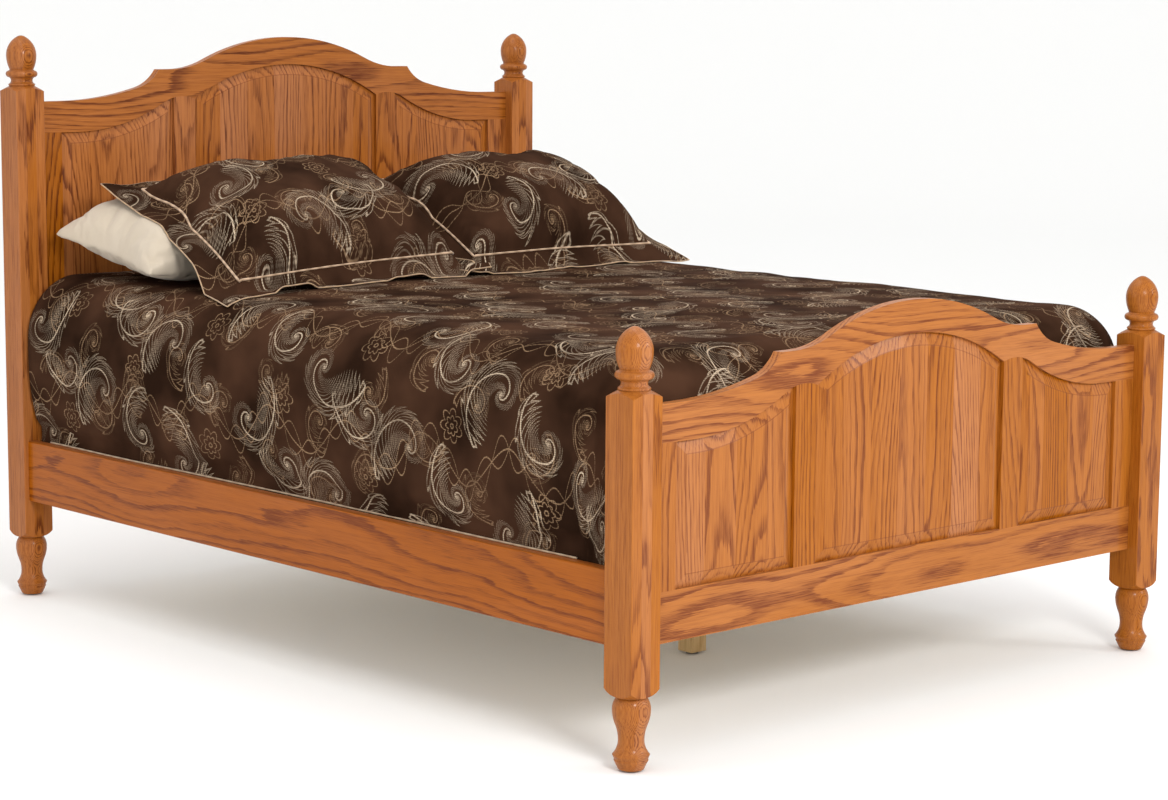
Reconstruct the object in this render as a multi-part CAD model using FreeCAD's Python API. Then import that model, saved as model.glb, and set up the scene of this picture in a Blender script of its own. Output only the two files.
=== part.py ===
import FreeCAD, Part
import math
import os
from FreeCAD import Vector

# Panel bed: two framed ends with arched crest rails and raised panels, four turned
# posts, hook-on side rails with cleats and slats, foundation, mattress and bedding.
# Millimetres. X runs across the bed, Y from foot (-) to head (+), Z up from the floor.
# The origin lies on the floor at the middle of the bed.

# ---- Driving dimensions -------------------------------------------------------------

# Mattress set, a queen size
mattress_width = 1524.0
mattress_length = 2032.0
mattress_height = 255.0
mattress_corner = 70.0
mattress_edge = 60.0
foundation_edge = 12.0
foundation_height = 220.0
side_gap = 16.0
end_gap = 12.5

# Posts: square blanks, turned above and below
post_side = 76.0
post_easing = 2.0
head_post_height = 1355.0
foot_post_height = 848.0

# Turned foot of a post, heights from the floor
foot_height = 161.0
foot_base_radius = 25.0
foot_flare_height = 21.5
foot_flare_radius = 33.4
foot_groove_height = 23.0
foot_groove_radius = 32.4
foot_collar_height = 32.0
foot_collar_radius = 36.0
foot_ankle_height = 60.0
foot_ankle_radius = 25.2
foot_bulb_height = 120.0
foot_bulb_radius = 37.2
foot_neck_height = 144.0
foot_neck_radius = 28.5
foot_shoulder_height = 147.0

# Finial of a post, heights down from the tip of the egg
finial_height = 132.5
finial_shoulder_drop = 124.0
finial_bead_drop = 116.5
finial_bead_half = 2.8
finial_bead_radius = 31.5
finial_bead_root_radius = 29.5
finial_cove_drop = 107.0
finial_cove_radius = 25.5
finial_ring_drop = 91.0
finial_ring_half = 8.0
finial_ring_radius = 37.4
finial_ring_root_radius = 30.2
finial_neck_drop = 80.5
finial_neck_radius = 28.0
finial_egg_drop = 47.0
finial_egg_radius = 35.6
finial_tip_drop = 2.2
finial_tip_radius = 8.5

# Head and foot frames
frame_thickness = 22.0
crest_drop_head = 25.0
crest_drop_foot = 18.5
bottom_rail_height = 100.0
headboard_rail_bottom = 440.0
footboard_rail_bottom = 237.0
stile_width = 63.0
mullion_width = 62.0
mullion_inset = 288.0

# Crest rail outline, heights from the level of its ends' top edge
crest_end_height = 75.0
crest_peak = 151.0
crest_cusp_height = 73.0
crest_cusp_x = 393.0
crest_ledge_x = 356.0
crest_hollow_radius = 250.0
crest_cove_radius = 106.0
crest_cove_angle = 56.5
crest_sweep_radius = 830.0
opening_sweep_radius = 500.0
opening_knee_radius = 113.0
opening_knee_x = 325.0
opening_knee_height = 6.0
opening_arch_height = 82.0

# Raised panels and their grooves
tongue_thickness = 5.0
tongue_depth = 8.0
groove_clearance = 0.2
groove_extra_depth = 1.2
bevel_width = 27.5
field_setback = 0.3
stub_tenon = 6.0

# Tenons of the cross rails in the posts
tenon_length = 20.0
tenon_thickness = 10.0
tenon_shoulder = 12.0
mortise_clearance = 0.2

# Side rails
rail_thickness = 25.0
rail_height = 146.0
rail_bottom = 238.0
rail_setback = 12.0
rail_easing = 3.5

# Cleats and slats
cleat_thickness = 25.0
cleat_height = 30.0
cleat_raise = 3.0
cleat_end_gap = 48.0
slat_thickness = 19.0
slat_width = 76.0
slat_count = 5
slat_end_margin = 130.0
slat_side_gap = 2.0

# Centre legs under the inner slats
leg_side = 44.0
leg_glide_height = 6.0
leg_glide_radius = 14.0

# Hook plates on the rail ends and slotted plates in the posts
plate_thickness = 3.0
hook_plate_width = 16.0
hook_plate_height = 120.0
hook_thickness = 3.0
hook_reach = 12.0
hook_lip = 6.0
hook_height = 26.0
hook_neck_height = 14.0
hook_spacing = 52.0
slot_plate_width = 20.0
slot_plate_height = 134.0
slot_clearance = 1.5
pocket_clearance = 2.0

# Screws: shank, head and length; feet
screw_radius = 2.0
screw_head_radius = 4.0
screw_head_height = 2.4
screw_length = 30.0
screw_clearance = 0.1
plate_screw_margin = 10.0
slot_screw_margin = 7.5
cleat_screw_count = 5
glide_height = 4.0
glide_radius = 14.0
glide_chamfer = 1.5
glide_nail_radius = 1.6
glide_nail_length = 16.0

# How far a cutter runs past the faces it cuts
overrun = 1.0

# Comforter
comforter_loft = 25.0
comforter_crown = 5.0
comforter_shoulder = 145.0
comforter_bulge = 49.0
comforter_bulge_wave = 2.5
comforter_tuck = 39.0
comforter_hem_flare = 1.0
comforter_foot_reach = 34.0
comforter_foot_shoulder = 130.0
comforter_head_overhang = 5.0
comforter_corner = 76.0
comforter_ripples = 6
comforter_trim = 10.0
soft_clearance = 0.3

# Pillows: corners are measured from the headboard's face and the comforter's top
pillow_edge = 6.0
pillow_fullness = 2.8
pillow_steps = 8
pillow_outer_x = 742.0
pillow_inner_x = 22.0
pillow_front = 465.0
pillow_back = 66.0
pillow_front_lift = 22.0
pillow_back_lift = 94.0
pillow_crown = 122.0
pillow_belly = 46.0
pillow_draw_in = 22.0

sham_flange = 75.0
sham_outer_x = 750.0
sham_front = 715.0
sham_back = 155.0
sham_front_lift = 4.0
sham_back_lift = 226.0
sham_crown = 128.0
sham_belly = 3.0
sham_draw_in = 10.0
sham_overlap = 45.0
sham_overlap_lift = 26.0
sham_lean = 80.0
sham_front_skew = 55.0

# Least swell at a pillow's seam, and how often a pillow is lowered onto what carries it
seam_rise = 1.0
settling_steps = 4

# ---- Places that follow from the driving dimensions ---------------------------------

half_post = post_side / 2
rail_inner_x = mattress_width / 2 + side_gap
rail_outer_x = rail_inner_x + rail_thickness
rail_x = (rail_inner_x + rail_outer_x) / 2
post_x = rail_outer_x + rail_setback - half_post
post_y = mattress_length / 2 + end_gap + half_post
frame_half_width = post_x - half_post
rail_half_length = post_y - half_post

head_square_top = head_post_height - finial_height
foot_square_top = foot_post_height - finial_height
head_crest_level = head_square_top - crest_drop_head
foot_crest_level = foot_square_top - crest_drop_foot

groove_thickness = tongue_thickness + 2 * groove_clearance
groove_depth = tongue_depth + groove_extra_depth
mullion_outer_x = mullion_inset + mullion_width
stile_inner_x = frame_half_width - stile_width

slat_bottom = rail_bottom + cleat_raise + cleat_height
slat_top = slat_bottom + slat_thickness
mattress_bottom = slat_top + foundation_height
mattress_top = mattress_bottom + mattress_height
comforter_top = mattress_top + comforter_loft
headboard_face = post_y - frame_thickness / 2
footboard_back = post_y - frame_thickness / 2
plate_z = rail_bottom + rail_height / 2

os.makedirs("parts", exist_ok=True)


def save(name, shape):
    shape.exportStep("parts/" + name + ".step")


# ---- Small geometry helpers ---------------------------------------------------------


def block(x0, x1, y0, y1, z0, z1):
    low = Vector(min(x0, x1), min(y0, y1), min(z0, z1))
    size = Vector(abs(x1 - x0), abs(y1 - y0), abs(z1 - z0))
    return Part.makeBox(size.x, size.y, size.z, low)


def arc_through(centre, start, end):
    """Arc from start to end about centre, the short way round."""
    radius = (start - centre).Length
    middle = (start - centre) + (end - centre)
    middle.normalize()
    return Part.Arc(start, centre + middle * radius, end).toShape()


def line(start, end):
    return Part.LineSegment(start, end).toShape()


def slab(edges, y0, y1):
    """Solid with an outline in the XZ plane, from y0 to y1."""
    face = Part.Face(Part.Wire(edges))
    face.translate(Vector(0, y0, 0))
    return face.extrude(Vector(0, y1 - y0, 0))


def point(x, z):
    return Vector(x, 0, z)


def mirrored_x(shape):
    return shape.mirror(Vector(0, 0, 0), Vector(1, 0, 0))


def mirrored_y(shape):
    return shape.mirror(Vector(0, 0, 0), Vector(0, 1, 0))


def placed(shape, x, y, z):
    copy = shape.copy()
    copy.translate(Vector(x, y, z))
    return copy


def both_ends(shape):
    """The shape and its mirror image at the other end of the bed."""
    return [shape, mirrored_y(shape)]


def one(shape):
    """The single solid of a shape, with split faces merged."""
    merged = shape.removeSplitter()
    if len(merged.Solids) != 1:
        raise ValueError("expected one solid, found " + str(len(merged.Solids)))
    return merged.Solids[0]


# ---- Screws and glides --------------------------------------------------------------


def screw(clearance=0.0):
    """Countersunk screw from its head's face at the origin, pointing to -Z."""
    shank = screw_radius + clearance
    head = screw_head_radius + clearance
    tip = -screw_length - clearance
    outline = [Vector(0, 0, 0), Vector(head, 0, 0), Vector(shank, 0, -screw_head_height),
               Vector(shank, 0, tip + shank), Vector(0, 0, tip), Vector(0, 0, 0)]
    face = Part.Face(Part.makePolygon(outline))
    return face.revolve(Vector(0, 0, 0), Vector(0, 0, 1), 360)


def screw_at(x, y, z, direction, clearance=0.0):
    """Screw whose head lies at the point and whose tip points along direction."""
    turned = screw(clearance)
    turn = FreeCAD.Rotation(Vector(0, 0, -1), direction)
    turned.Placement = FreeCAD.Placement(Vector(x, y, z), turn)
    return turned


def glide(x, y, clearance=0.0):
    """Nail-in glide with a chamfered rim, under a post."""
    nail = glide_nail_radius + clearance
    tip = glide_height + glide_nail_length + clearance
    outline = [point(0, 0), point(glide_radius - glide_chamfer, 0),
               point(glide_radius, glide_chamfer), point(glide_radius, glide_height),
               point(nail, glide_height), point(nail, tip), point(0, tip), point(0, 0)]
    face = Part.Face(Part.makePolygon(outline))
    return placed(face.revolve(Vector(0, 0, 0), Vector(0, 0, 1), 360), x, y, 0)


# ---- Posts --------------------------------------------------------------------------


def upright_arc(start, end):
    """Arc from start that runs upright where it meets end."""
    run = end.x - start.x
    radius = ((end.z - start.z) ** 2 + run ** 2) / (2 * run)
    return arc_through(point(end.x - radius, end.z), start, end)


def three_point_arc(start, middle, end):
    return Part.Arc(start, middle, end).toShape()


def foot_edges(square_radius):
    """Outline of the turned foot, from the axis out to the square's lower corner."""
    base = point(foot_base_radius, glide_height)
    flare = point(foot_flare_radius, foot_flare_height)
    groove = point(foot_groove_radius, foot_groove_height)
    collar = point(foot_collar_radius, foot_collar_height)
    ankle = point(foot_ankle_radius, foot_ankle_height)
    bulb = point(foot_bulb_radius, foot_bulb_height)
    waist = (ankle + bulb) / 2
    neck = point(foot_neck_radius, foot_neck_height)
    shoulder = point(half_post, foot_shoulder_height)
    corner = point(half_post * math.sqrt(2), foot_height)
    return [line(point(0, glide_height), base), line(base, flare), line(flare, groove),
            line(groove, collar), upright_arc(collar, ankle), upright_arc(waist, ankle),
            upright_arc(waist, bulb), upright_arc(neck, bulb),
            three_point_arc(neck, shoulder, corner),
            line(corner, point(square_radius, foot_height + overrun))]


def finial_edges(height, square_radius):
    """Outline of the finial, from the square's upper corner up to the tip on the axis."""
    def at(drop, radius):
        return point(radius, height - drop)

    corner = at(finial_height, half_post * math.sqrt(2))
    shoulder = at(finial_shoulder_drop, half_post)
    bead_low = at(finial_bead_drop + finial_bead_half, finial_bead_root_radius)
    bead = at(finial_bead_drop, finial_bead_radius)
    bead_high = at(finial_bead_drop - finial_bead_half, finial_bead_root_radius)
    cove = at(finial_cove_drop, finial_cove_radius)
    ring_low = at(finial_ring_drop + finial_ring_half, finial_ring_root_radius)
    ring = at(finial_ring_drop, finial_ring_radius)
    ring_high = at(finial_ring_drop - finial_ring_half, finial_ring_root_radius)
    neck = at(finial_neck_drop, finial_neck_radius)
    egg = at(finial_egg_drop, finial_egg_radius)
    tip_edge = at(finial_tip_drop, finial_tip_radius)
    tip = at(0, 0)
    tip_curve = (finial_tip_radius ** 2 + finial_tip_drop ** 2) / (2 * finial_tip_drop)
    return [line(point(square_radius, height - finial_height - overrun), corner),
            three_point_arc(corner, shoulder, bead_low),
            three_point_arc(bead_low, bead, bead_high),
            three_point_arc(bead_high, cove, ring_low),
            three_point_arc(ring_low, ring, ring_high), line(ring_high, neck),
            upright_arc(neck, egg), upright_arc(tip_edge, egg),
            arc_through(at(tip_curve, 0), tip_edge, tip)]


def post_blank(height):
    """Turned post: a revolved outline cut to the square of its blank."""
    beyond = half_post * math.sqrt(2) + overrun
    low = point(beyond, foot_height + overrun)
    high = point(beyond, height - finial_height - overrun)
    edges = foot_edges(beyond) + [line(low, high)] + finial_edges(height, beyond)
    edges.append(line(point(0, height), point(0, glide_height)))
    outline = Part.Wire(Part.__sortEdges__(edges))
    turned = Part.Face(outline).revolve(Vector(0, 0, 0), Vector(0, 0, 1), 360)
    blank = block(-half_post, half_post, -half_post, half_post, 0, height)
    upright = [e for e in blank.Edges if abs(e.Vertexes[0].Z - e.Vertexes[1].Z) > 1]
    blank = blank.makeFillet(post_easing, upright)
    return one(turned.common(blank))


def rail_mortise(low, high):
    """Mortise in the foot end's right post for a cross rail's tenon."""
    half = tenon_thickness / 2 + mortise_clearance
    return block(frame_half_width - overrun, frame_half_width + tenon_length + mortise_clearance,
                 -post_y - half, -post_y + half, low - mortise_clearance, high + mortise_clearance)


def make_post(height, tenons, screws):
    """Post at the foot end's right corner, with its mortises, plate seat and glide hole."""
    post = placed(post_blank(height), post_x, -post_y, 0)
    cutters = [rail_mortise(low, high) for low, high in tenons]
    cutters += [slot_plate_seat(), hook_pocket(), glide(post_x, -post_y, screw_clearance)]
    return one(post.cut(cutters + screws))


# ---- Crest rail and panel outlines --------------------------------------------------


class Crest:
    """Outline of a crest rail and of the openings below it, from the level of its ends."""

    def __init__(self, level):
        self.level = level
        self.end = point(frame_half_width, level)
        ledge_z = level + crest_cusp_height
        self.ledge = point(crest_ledge_x, ledge_z)
        self.cusp = point(crest_cusp_x, ledge_z)
        self.hollow_centre = point(crest_ledge_x, ledge_z + crest_hollow_radius)
        rise = crest_hollow_radius + crest_cusp_height - crest_peak
        radius = (crest_ledge_x ** 2 + rise ** 2 - crest_hollow_radius ** 2)
        radius = radius / (2 * (crest_hollow_radius - rise))
        self.peak = point(0, level + crest_peak)
        self.arch_centre = point(0, level + crest_peak - radius)
        across = self.hollow_centre - self.arch_centre
        self.arch_end = self.arch_centre + across * (radius / across.Length)
        slope = math.radians(crest_cove_angle)
        self.cove_centre = self.cusp + point(math.sin(slope), math.cos(slope)) * crest_cove_radius
        drop = level + crest_sweep_radius - self.cove_centre.z
        reach = math.sqrt((crest_sweep_radius - crest_cove_radius) ** 2 - drop ** 2)
        self.sweep_centre = point(self.cove_centre.x + reach, level + crest_sweep_radius)
        inward = self.cove_centre - self.sweep_centre
        self.cove_end = self.sweep_centre + inward * (crest_sweep_radius / inward.Length)
        self.sweep_end = point(self.sweep_centre.x, level)

        self.low = level - crest_end_height
        self.knee_centre = point(opening_knee_x, level + opening_knee_height - opening_knee_radius)
        drop = self.low + opening_sweep_radius - self.knee_centre.z
        reach = math.sqrt((opening_sweep_radius + opening_knee_radius) ** 2 - drop ** 2)
        self.low_centre = point(opening_knee_x + reach, self.low + opening_sweep_radius)
        foot = self.knee(mullion_inset, 0)
        crown = level + opening_arch_height
        sagitta = crown - foot.z
        self.opening_arch_radius = (mullion_inset ** 2 + sagitta ** 2) / (2 * sagitta)
        self.opening_arch_centre = point(0, crown - self.opening_arch_radius)

    def knee(self, x, inset):
        """Point of the knee arc over the mullion, at x, moved inward by inset."""
        radius = opening_knee_radius - inset
        return self.knee_centre + point(x - opening_knee_x,
                                        math.sqrt(radius ** 2 - (x - opening_knee_x) ** 2))

    def arch_foot(self, inset):
        """Where the opening's arch meets the mullion's edge."""
        x = mullion_inset - inset
        radius = self.opening_arch_radius - inset
        return self.opening_arch_centre + point(x, math.sqrt(radius ** 2 - x ** 2))

    def knee_join(self, inset):
        """Where the low sweep turns into the knee."""
        across = self.low_centre - self.knee_centre
        return self.knee_centre + across * ((opening_knee_radius - inset) / across.Length)

    def upper_edges(self):
        """Top edge, from the peak out to the right end."""
        return [arc_through(self.arch_centre, self.peak, self.arch_end),
                arc_through(self.hollow_centre, self.arch_end, self.ledge),
                line(self.ledge, self.cusp),
                arc_through(self.cove_centre, self.cusp, self.cove_end),
                arc_through(self.sweep_centre, self.cove_end, self.sweep_end),
                line(self.sweep_end, self.end)]

    def lower_edges(self):
        """Lower edge, from the right end back to the middle."""
        foot = self.arch_foot(0)
        corner = point(frame_half_width, self.low)
        sweep = point(self.low_centre.x, self.low)
        crown = self.opening_arch_centre + point(0, self.opening_arch_radius)
        return [line(self.end, corner), line(corner, sweep),
                arc_through(self.low_centre, sweep, self.knee_join(0)),
                arc_through(self.knee_centre, self.knee_join(0), foot),
                arc_through(self.opening_arch_centre, foot, crown)]

    def side_opening(self, bottom, inset):
        """Outline of the right opening, moved inward by inset, or outward where negative."""
        x0 = mullion_outer_x + inset
        x1 = stile_inner_x - inset
        low = self.low - inset
        sweep = point(self.low_centre.x, low)
        knee = self.knee(x0, inset)
        start = point(x0, bottom + inset)
        corner = point(x1, bottom + inset)
        return [line(start, corner), line(corner, point(x1, low)), line(point(x1, low), sweep),
                arc_through(self.low_centre, sweep, self.knee_join(inset)),
                arc_through(self.knee_centre, self.knee_join(inset), knee), line(knee, start)]

    def centre_opening(self, bottom, inset):
        """Outline of the middle opening, moved inward by inset."""
        foot = self.arch_foot(inset)
        left = point(-foot.x, foot.z)
        start = point(-foot.x, bottom + inset)
        corner = point(foot.x, bottom + inset)
        return [line(start, corner), line(corner, foot),
                arc_through(self.opening_arch_centre, foot, left), line(left, start)]


# ---- Head and foot frames -----------------------------------------------------------


def tenon(low, high):
    """Tenon on the right end of a cross rail."""
    half = tenon_thickness / 2
    return block(frame_half_width, frame_half_width + tenon_length, -half, half, low, high)


def across(shape):
    """The shape together with its mirror image on the other side."""
    return [shape, mirrored_x(shape)]


def raised_panel(outline):
    """Panel with a tongue all round and a field raised by a sloping bevel."""
    half = tongue_thickness / 2
    face = -frame_thickness / 2 + field_setback
    tongue = slab(outline(-tongue_depth), -half, half)
    low = Part.Wire(outline(0))
    low.translate(Vector(0, -half, 0))
    high = Part.Wire(outline(bevel_width))
    high.translate(Vector(0, face, 0))
    field = Part.makeLoft([low, high], True, True)
    return one(tongue.fuse(field))


def make_frame(prefix, level, rail_low, y):
    """One end of the bed: crest rail, bottom rail, stiles, mullions and three panels."""
    crest = Crest(level)
    half = frame_thickness / 2
    groove = groove_thickness / 2
    tongue = tongue_thickness / 2
    bottom = rail_low + bottom_rail_height
    crest_stub = level + opening_knee_height + stub_tenon
    stile_stub = crest.low + stub_tenon

    def groove_slab(outline):
        return slab(outline, -groove, groove)

    side_groove = groove_slab(crest.side_opening(bottom, -groove_depth))
    centre_groove = groove_slab(crest.centre_opening(bottom, -groove_depth))
    top_groove_m = block(mullion_inset, mullion_outer_x, -groove, groove, bottom,
                         crest_stub + groove_extra_depth)
    top_groove_s = block(stile_inner_x, frame_half_width, -groove, groove, bottom,
                         stile_stub + groove_extra_depth)
    grooves = across(side_groove) + [centre_groove] + across(top_groove_m) + across(top_groove_s)

    right = Part.Wire(crest.upper_edges() + crest.lower_edges() +
                      [line(crest.opening_arch_centre + point(0, crest.opening_arch_radius),
                            crest.peak)])
    right_half = slab(right.Edges, -half, half)
    plain_crest = one(right_half.fuse(mirrored_x(right_half)))
    crest_tenon = tenon(crest.low + tenon_shoulder, level - tenon_shoulder)
    rail = one(plain_crest.cut(grooves).fuse(across(crest_tenon)))

    low_tenon = tenon(rail_low + tenon_shoulder, bottom - tenon_shoulder)
    low_rail = block(-frame_half_width, frame_half_width, -half, half, rail_low, bottom)
    low_groove = block(-frame_half_width, frame_half_width, -groove, groove,
                       bottom - groove_depth, bottom)
    low_rail = one(low_rail.cut(low_groove).fuse(across(low_tenon)))

    stub_low = bottom - stub_tenon
    mullion = block(mullion_inset, mullion_outer_x, -half, half, bottom,
                    level + opening_knee_height + overrun).cut(plain_crest)
    mullion = mullion.fuse(block(mullion_inset, mullion_outer_x, -tongue, tongue,
                                 stub_low, crest_stub))
    mullion = one(mullion.cut([side_groove, centre_groove]))
    stile = block(stile_inner_x, frame_half_width, -half, half, bottom, crest.low)
    stile = stile.fuse(block(stile_inner_x, frame_half_width, -tongue, tongue,
                             stub_low, stile_stub))
    stile = one(stile.cut(side_groove))

    side_panel = raised_panel(lambda inset: crest.side_opening(bottom, inset))
    centre_panel = raised_panel(lambda inset: crest.centre_opening(bottom, inset))

    pieces = {"crest_rail": rail, "bottom_rail": low_rail, "panel_centre": centre_panel,
              "mullion_right": mullion, "mullion_left": mirrored_x(mullion),
              "stile_right": stile, "stile_left": mirrored_x(stile),
              "panel_right": side_panel, "panel_left": mirrored_x(side_panel)}
    for name, piece in pieces.items():
        save(prefix + "_" + name, placed(piece, 0, y, 0))
    return [(crest.low + tenon_shoulder, level - tenon_shoulder),
            (rail_low + tenon_shoulder, bottom - tenon_shoulder)]


# ---- Rail hardware, at the foot end's right corner ----------------------------------


def plate_screws(clearance=0.0):
    """Screws of the hook plate, into the rail's end."""
    reach = hook_plate_height / 2 - plate_screw_margin
    return [screw_at(rail_x, -rail_half_length, plate_z + side * reach, Vector(0, 1, 0), clearance)
            for side in (-1, 1)]


def slot_screws(clearance=0.0):
    """Screws of the slotted plate, into the post."""
    reach = slot_plate_height / 2 - slot_screw_margin
    return [screw_at(rail_x, -rail_half_length, plate_z + side * reach, Vector(0, -1, 0), clearance)
            for side in (-1, 1)]


def hook(centre_z):
    """Hook of sheet steel that drops behind the slotted plate."""
    half = hook_thickness / 2
    face = -rail_half_length
    top = centre_z + hook_height / 2
    neck = block(rail_x - half, rail_x + half, face, face - hook_reach, top - hook_neck_height, top)
    lip = block(rail_x - half, rail_x + half, face - hook_reach + hook_lip, face - hook_reach,
                top - hook_height, top)
    return neck.fuse(lip)


def hook_plate_seat():
    half = hook_plate_width / 2
    return block(rail_x - half, rail_x + half, -rail_half_length, -rail_half_length + plate_thickness,
                 plate_z - hook_plate_height / 2, plate_z + hook_plate_height / 2)


def hook_plate():
    hooks = [hook(plate_z + side * hook_spacing / 2) for side in (-1, 1)]
    return one(hook_plate_seat().fuse(hooks).cut(plate_screws(screw_clearance)))


def slot_plate_seat():
    half = slot_plate_width / 2
    return block(rail_x - half, rail_x + half, -rail_half_length, -rail_half_length - plate_thickness,
                 plate_z - slot_plate_height / 2, plate_z + slot_plate_height / 2)


def slot_plate():
    half = hook_thickness / 2 + slot_clearance
    slots = []
    for side in (-1, 1):
        middle = plate_z + side * hook_spacing / 2
        slots.append(block(rail_x - half, rail_x + half, -rail_half_length + overrun,
                           -rail_half_length - plate_thickness - overrun,
                           middle - hook_height / 2 - slot_clearance,
                           middle + hook_height / 2 + slot_clearance))
    return one(slot_plate_seat().cut(slots + slot_screws(screw_clearance)))


def hook_pocket():
    """Hollow in the post behind the slotted plate."""
    half = hook_thickness / 2 + pocket_clearance
    reach = hook_spacing / 2 + hook_height / 2 + pocket_clearance
    return block(rail_x - half, rail_x + half, -rail_half_length,
                 -rail_half_length - hook_reach - pocket_clearance,
                 plate_z - reach, plate_z + reach)


# ---- Side rails, cleats, slats and centre legs --------------------------------------


def slat_places():
    span = mattress_length - 2 * slat_end_margin
    return [-span / 2 + span * i / (slat_count - 1) for i in range(slat_count)]


def cleat_screws(clearance=0.0):
    """Screws through the right cleat into its side rail, between the slats."""
    reach = rail_half_length - cleat_end_gap - slat_end_margin / 2
    height = rail_bottom + cleat_raise + cleat_height / 2
    step = 2 * reach / (cleat_screw_count - 1)
    return [screw_at(rail_inner_x - cleat_thickness, -reach + step * i, height,
                     Vector(1, 0, 0), clearance) for i in range(cleat_screw_count)]


def slat_screws(clearance=0.0):
    """Screws through the slats' right ends into the cleat."""
    x = rail_inner_x - cleat_thickness / 2
    return [screw_at(x, y, slat_top, Vector(0, 0, -1), clearance) for y in slat_places()]


def leg_screws(clearance=0.0):
    """Screws down through the inner slats into the centre legs."""
    return [screw_at(0, y, slat_top, Vector(0, 0, -1), clearance) for y in slat_places()[1:-1]]


def side_rail():
    rail = block(rail_inner_x, rail_outer_x, -rail_half_length, rail_half_length,
                 rail_bottom, rail_bottom + rail_height)
    outer = [e for e in rail.Edges if abs(e.Vertexes[0].X - rail_outer_x) < 0.1
             and abs(e.Vertexes[1].X - rail_outer_x) < 0.1
             and abs(e.Vertexes[0].Y - e.Vertexes[1].Y) > 1]
    rail = rail.makeFillet(rail_easing, outer)
    cutters = both_ends(hook_plate_seat()) + cleat_screws(screw_clearance)
    for item in plate_screws(screw_clearance):
        cutters += both_ends(item)
    return one(rail.cut(cutters))


def cleat():
    reach = rail_half_length - cleat_end_gap
    low = rail_bottom + cleat_raise
    bar = block(rail_inner_x - cleat_thickness, rail_inner_x, -reach, reach, low, low + cleat_height)
    return one(bar.cut(cleat_screws(screw_clearance) + slat_screws(screw_clearance)))


def slat(y):
    reach = rail_inner_x - slat_side_gap
    bar = block(-reach, reach, y - slat_width / 2, y + slat_width / 2, slat_bottom, slat_top)
    right = slat_screws(screw_clearance)
    return one(bar.cut(right + [mirrored_x(item) for item in right] + leg_screws(screw_clearance)))


def centre_leg(y):
    half = leg_side / 2
    leg = block(-half, half, y - half, y + half, leg_glide_height, slat_bottom)
    return one(leg.cut(leg_screws(screw_clearance)))


# ---- Mattress, foundation and comforter ---------------------------------------------


def soft_block(half_width, y0, y1, low, high, edge):
    """Block with rounded upright corners and eased top and bottom edges."""
    body = block(-half_width, half_width, y0, y1, low, high)
    upright = [e for e in body.Edges if abs(e.Vertexes[0].Z - e.Vertexes[1].Z) > 1]
    body = body.makeFillet(mattress_corner, upright)
    level = [e for e in body.Edges if abs(e.BoundBox.ZLength) < 0.1]
    return body.makeFillet(edge, level)


def foundation():
    return soft_block(mattress_width / 2, -mattress_length / 2, mattress_length / 2,
                      slat_top, mattress_bottom, foundation_edge)


def mattress():
    return soft_block(mattress_width / 2, -mattress_length / 2, mattress_length / 2,
                      mattress_bottom, mattress_top, mattress_edge)


def comforter_section(y, bulge):
    """Outline across the bed, from the tucked hem over the crown to the other hem."""
    hem = Vector(rail_inner_x - soft_clearance, y, rail_bottom + rail_height - comforter_tuck)
    leave = Vector(hem.x + comforter_hem_flare, y, rail_bottom + rail_height + comforter_tuck)
    wide_x = mattress_width / 2 + bulge
    flat = Vector(wide_x - comforter_shoulder, y, comforter_top - comforter_crown)
    wide = Vector(wide_x, y, flat.z - comforter_shoulder)
    rise = wide.z - leave.z
    swell = (rise ** 2 + (wide.x - leave.x) ** 2) / (2 * (wide.x - leave.x))
    shoulder_centre = Vector(flat.x, y, wide.z)
    side_centre = Vector(wide.x - swell, y, wide.z)

    def flip(v):
        return Vector(-v.x, v.y, v.z)

    top = Vector(0, y, comforter_top)
    edges = [line(hem, leave), arc_through(side_centre, leave, wide),
             arc_through(shoulder_centre, wide, flat), Part.Arc(flat, top, flip(flat)).toShape(),
             arc_through(flip(shoulder_centre), flip(flat), flip(wide)),
             arc_through(flip(side_centre), flip(wide), flip(leave)),
             line(flip(leave), flip(hem)), line(flip(hem), hem)]
    return Part.Wire(edges)


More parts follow.
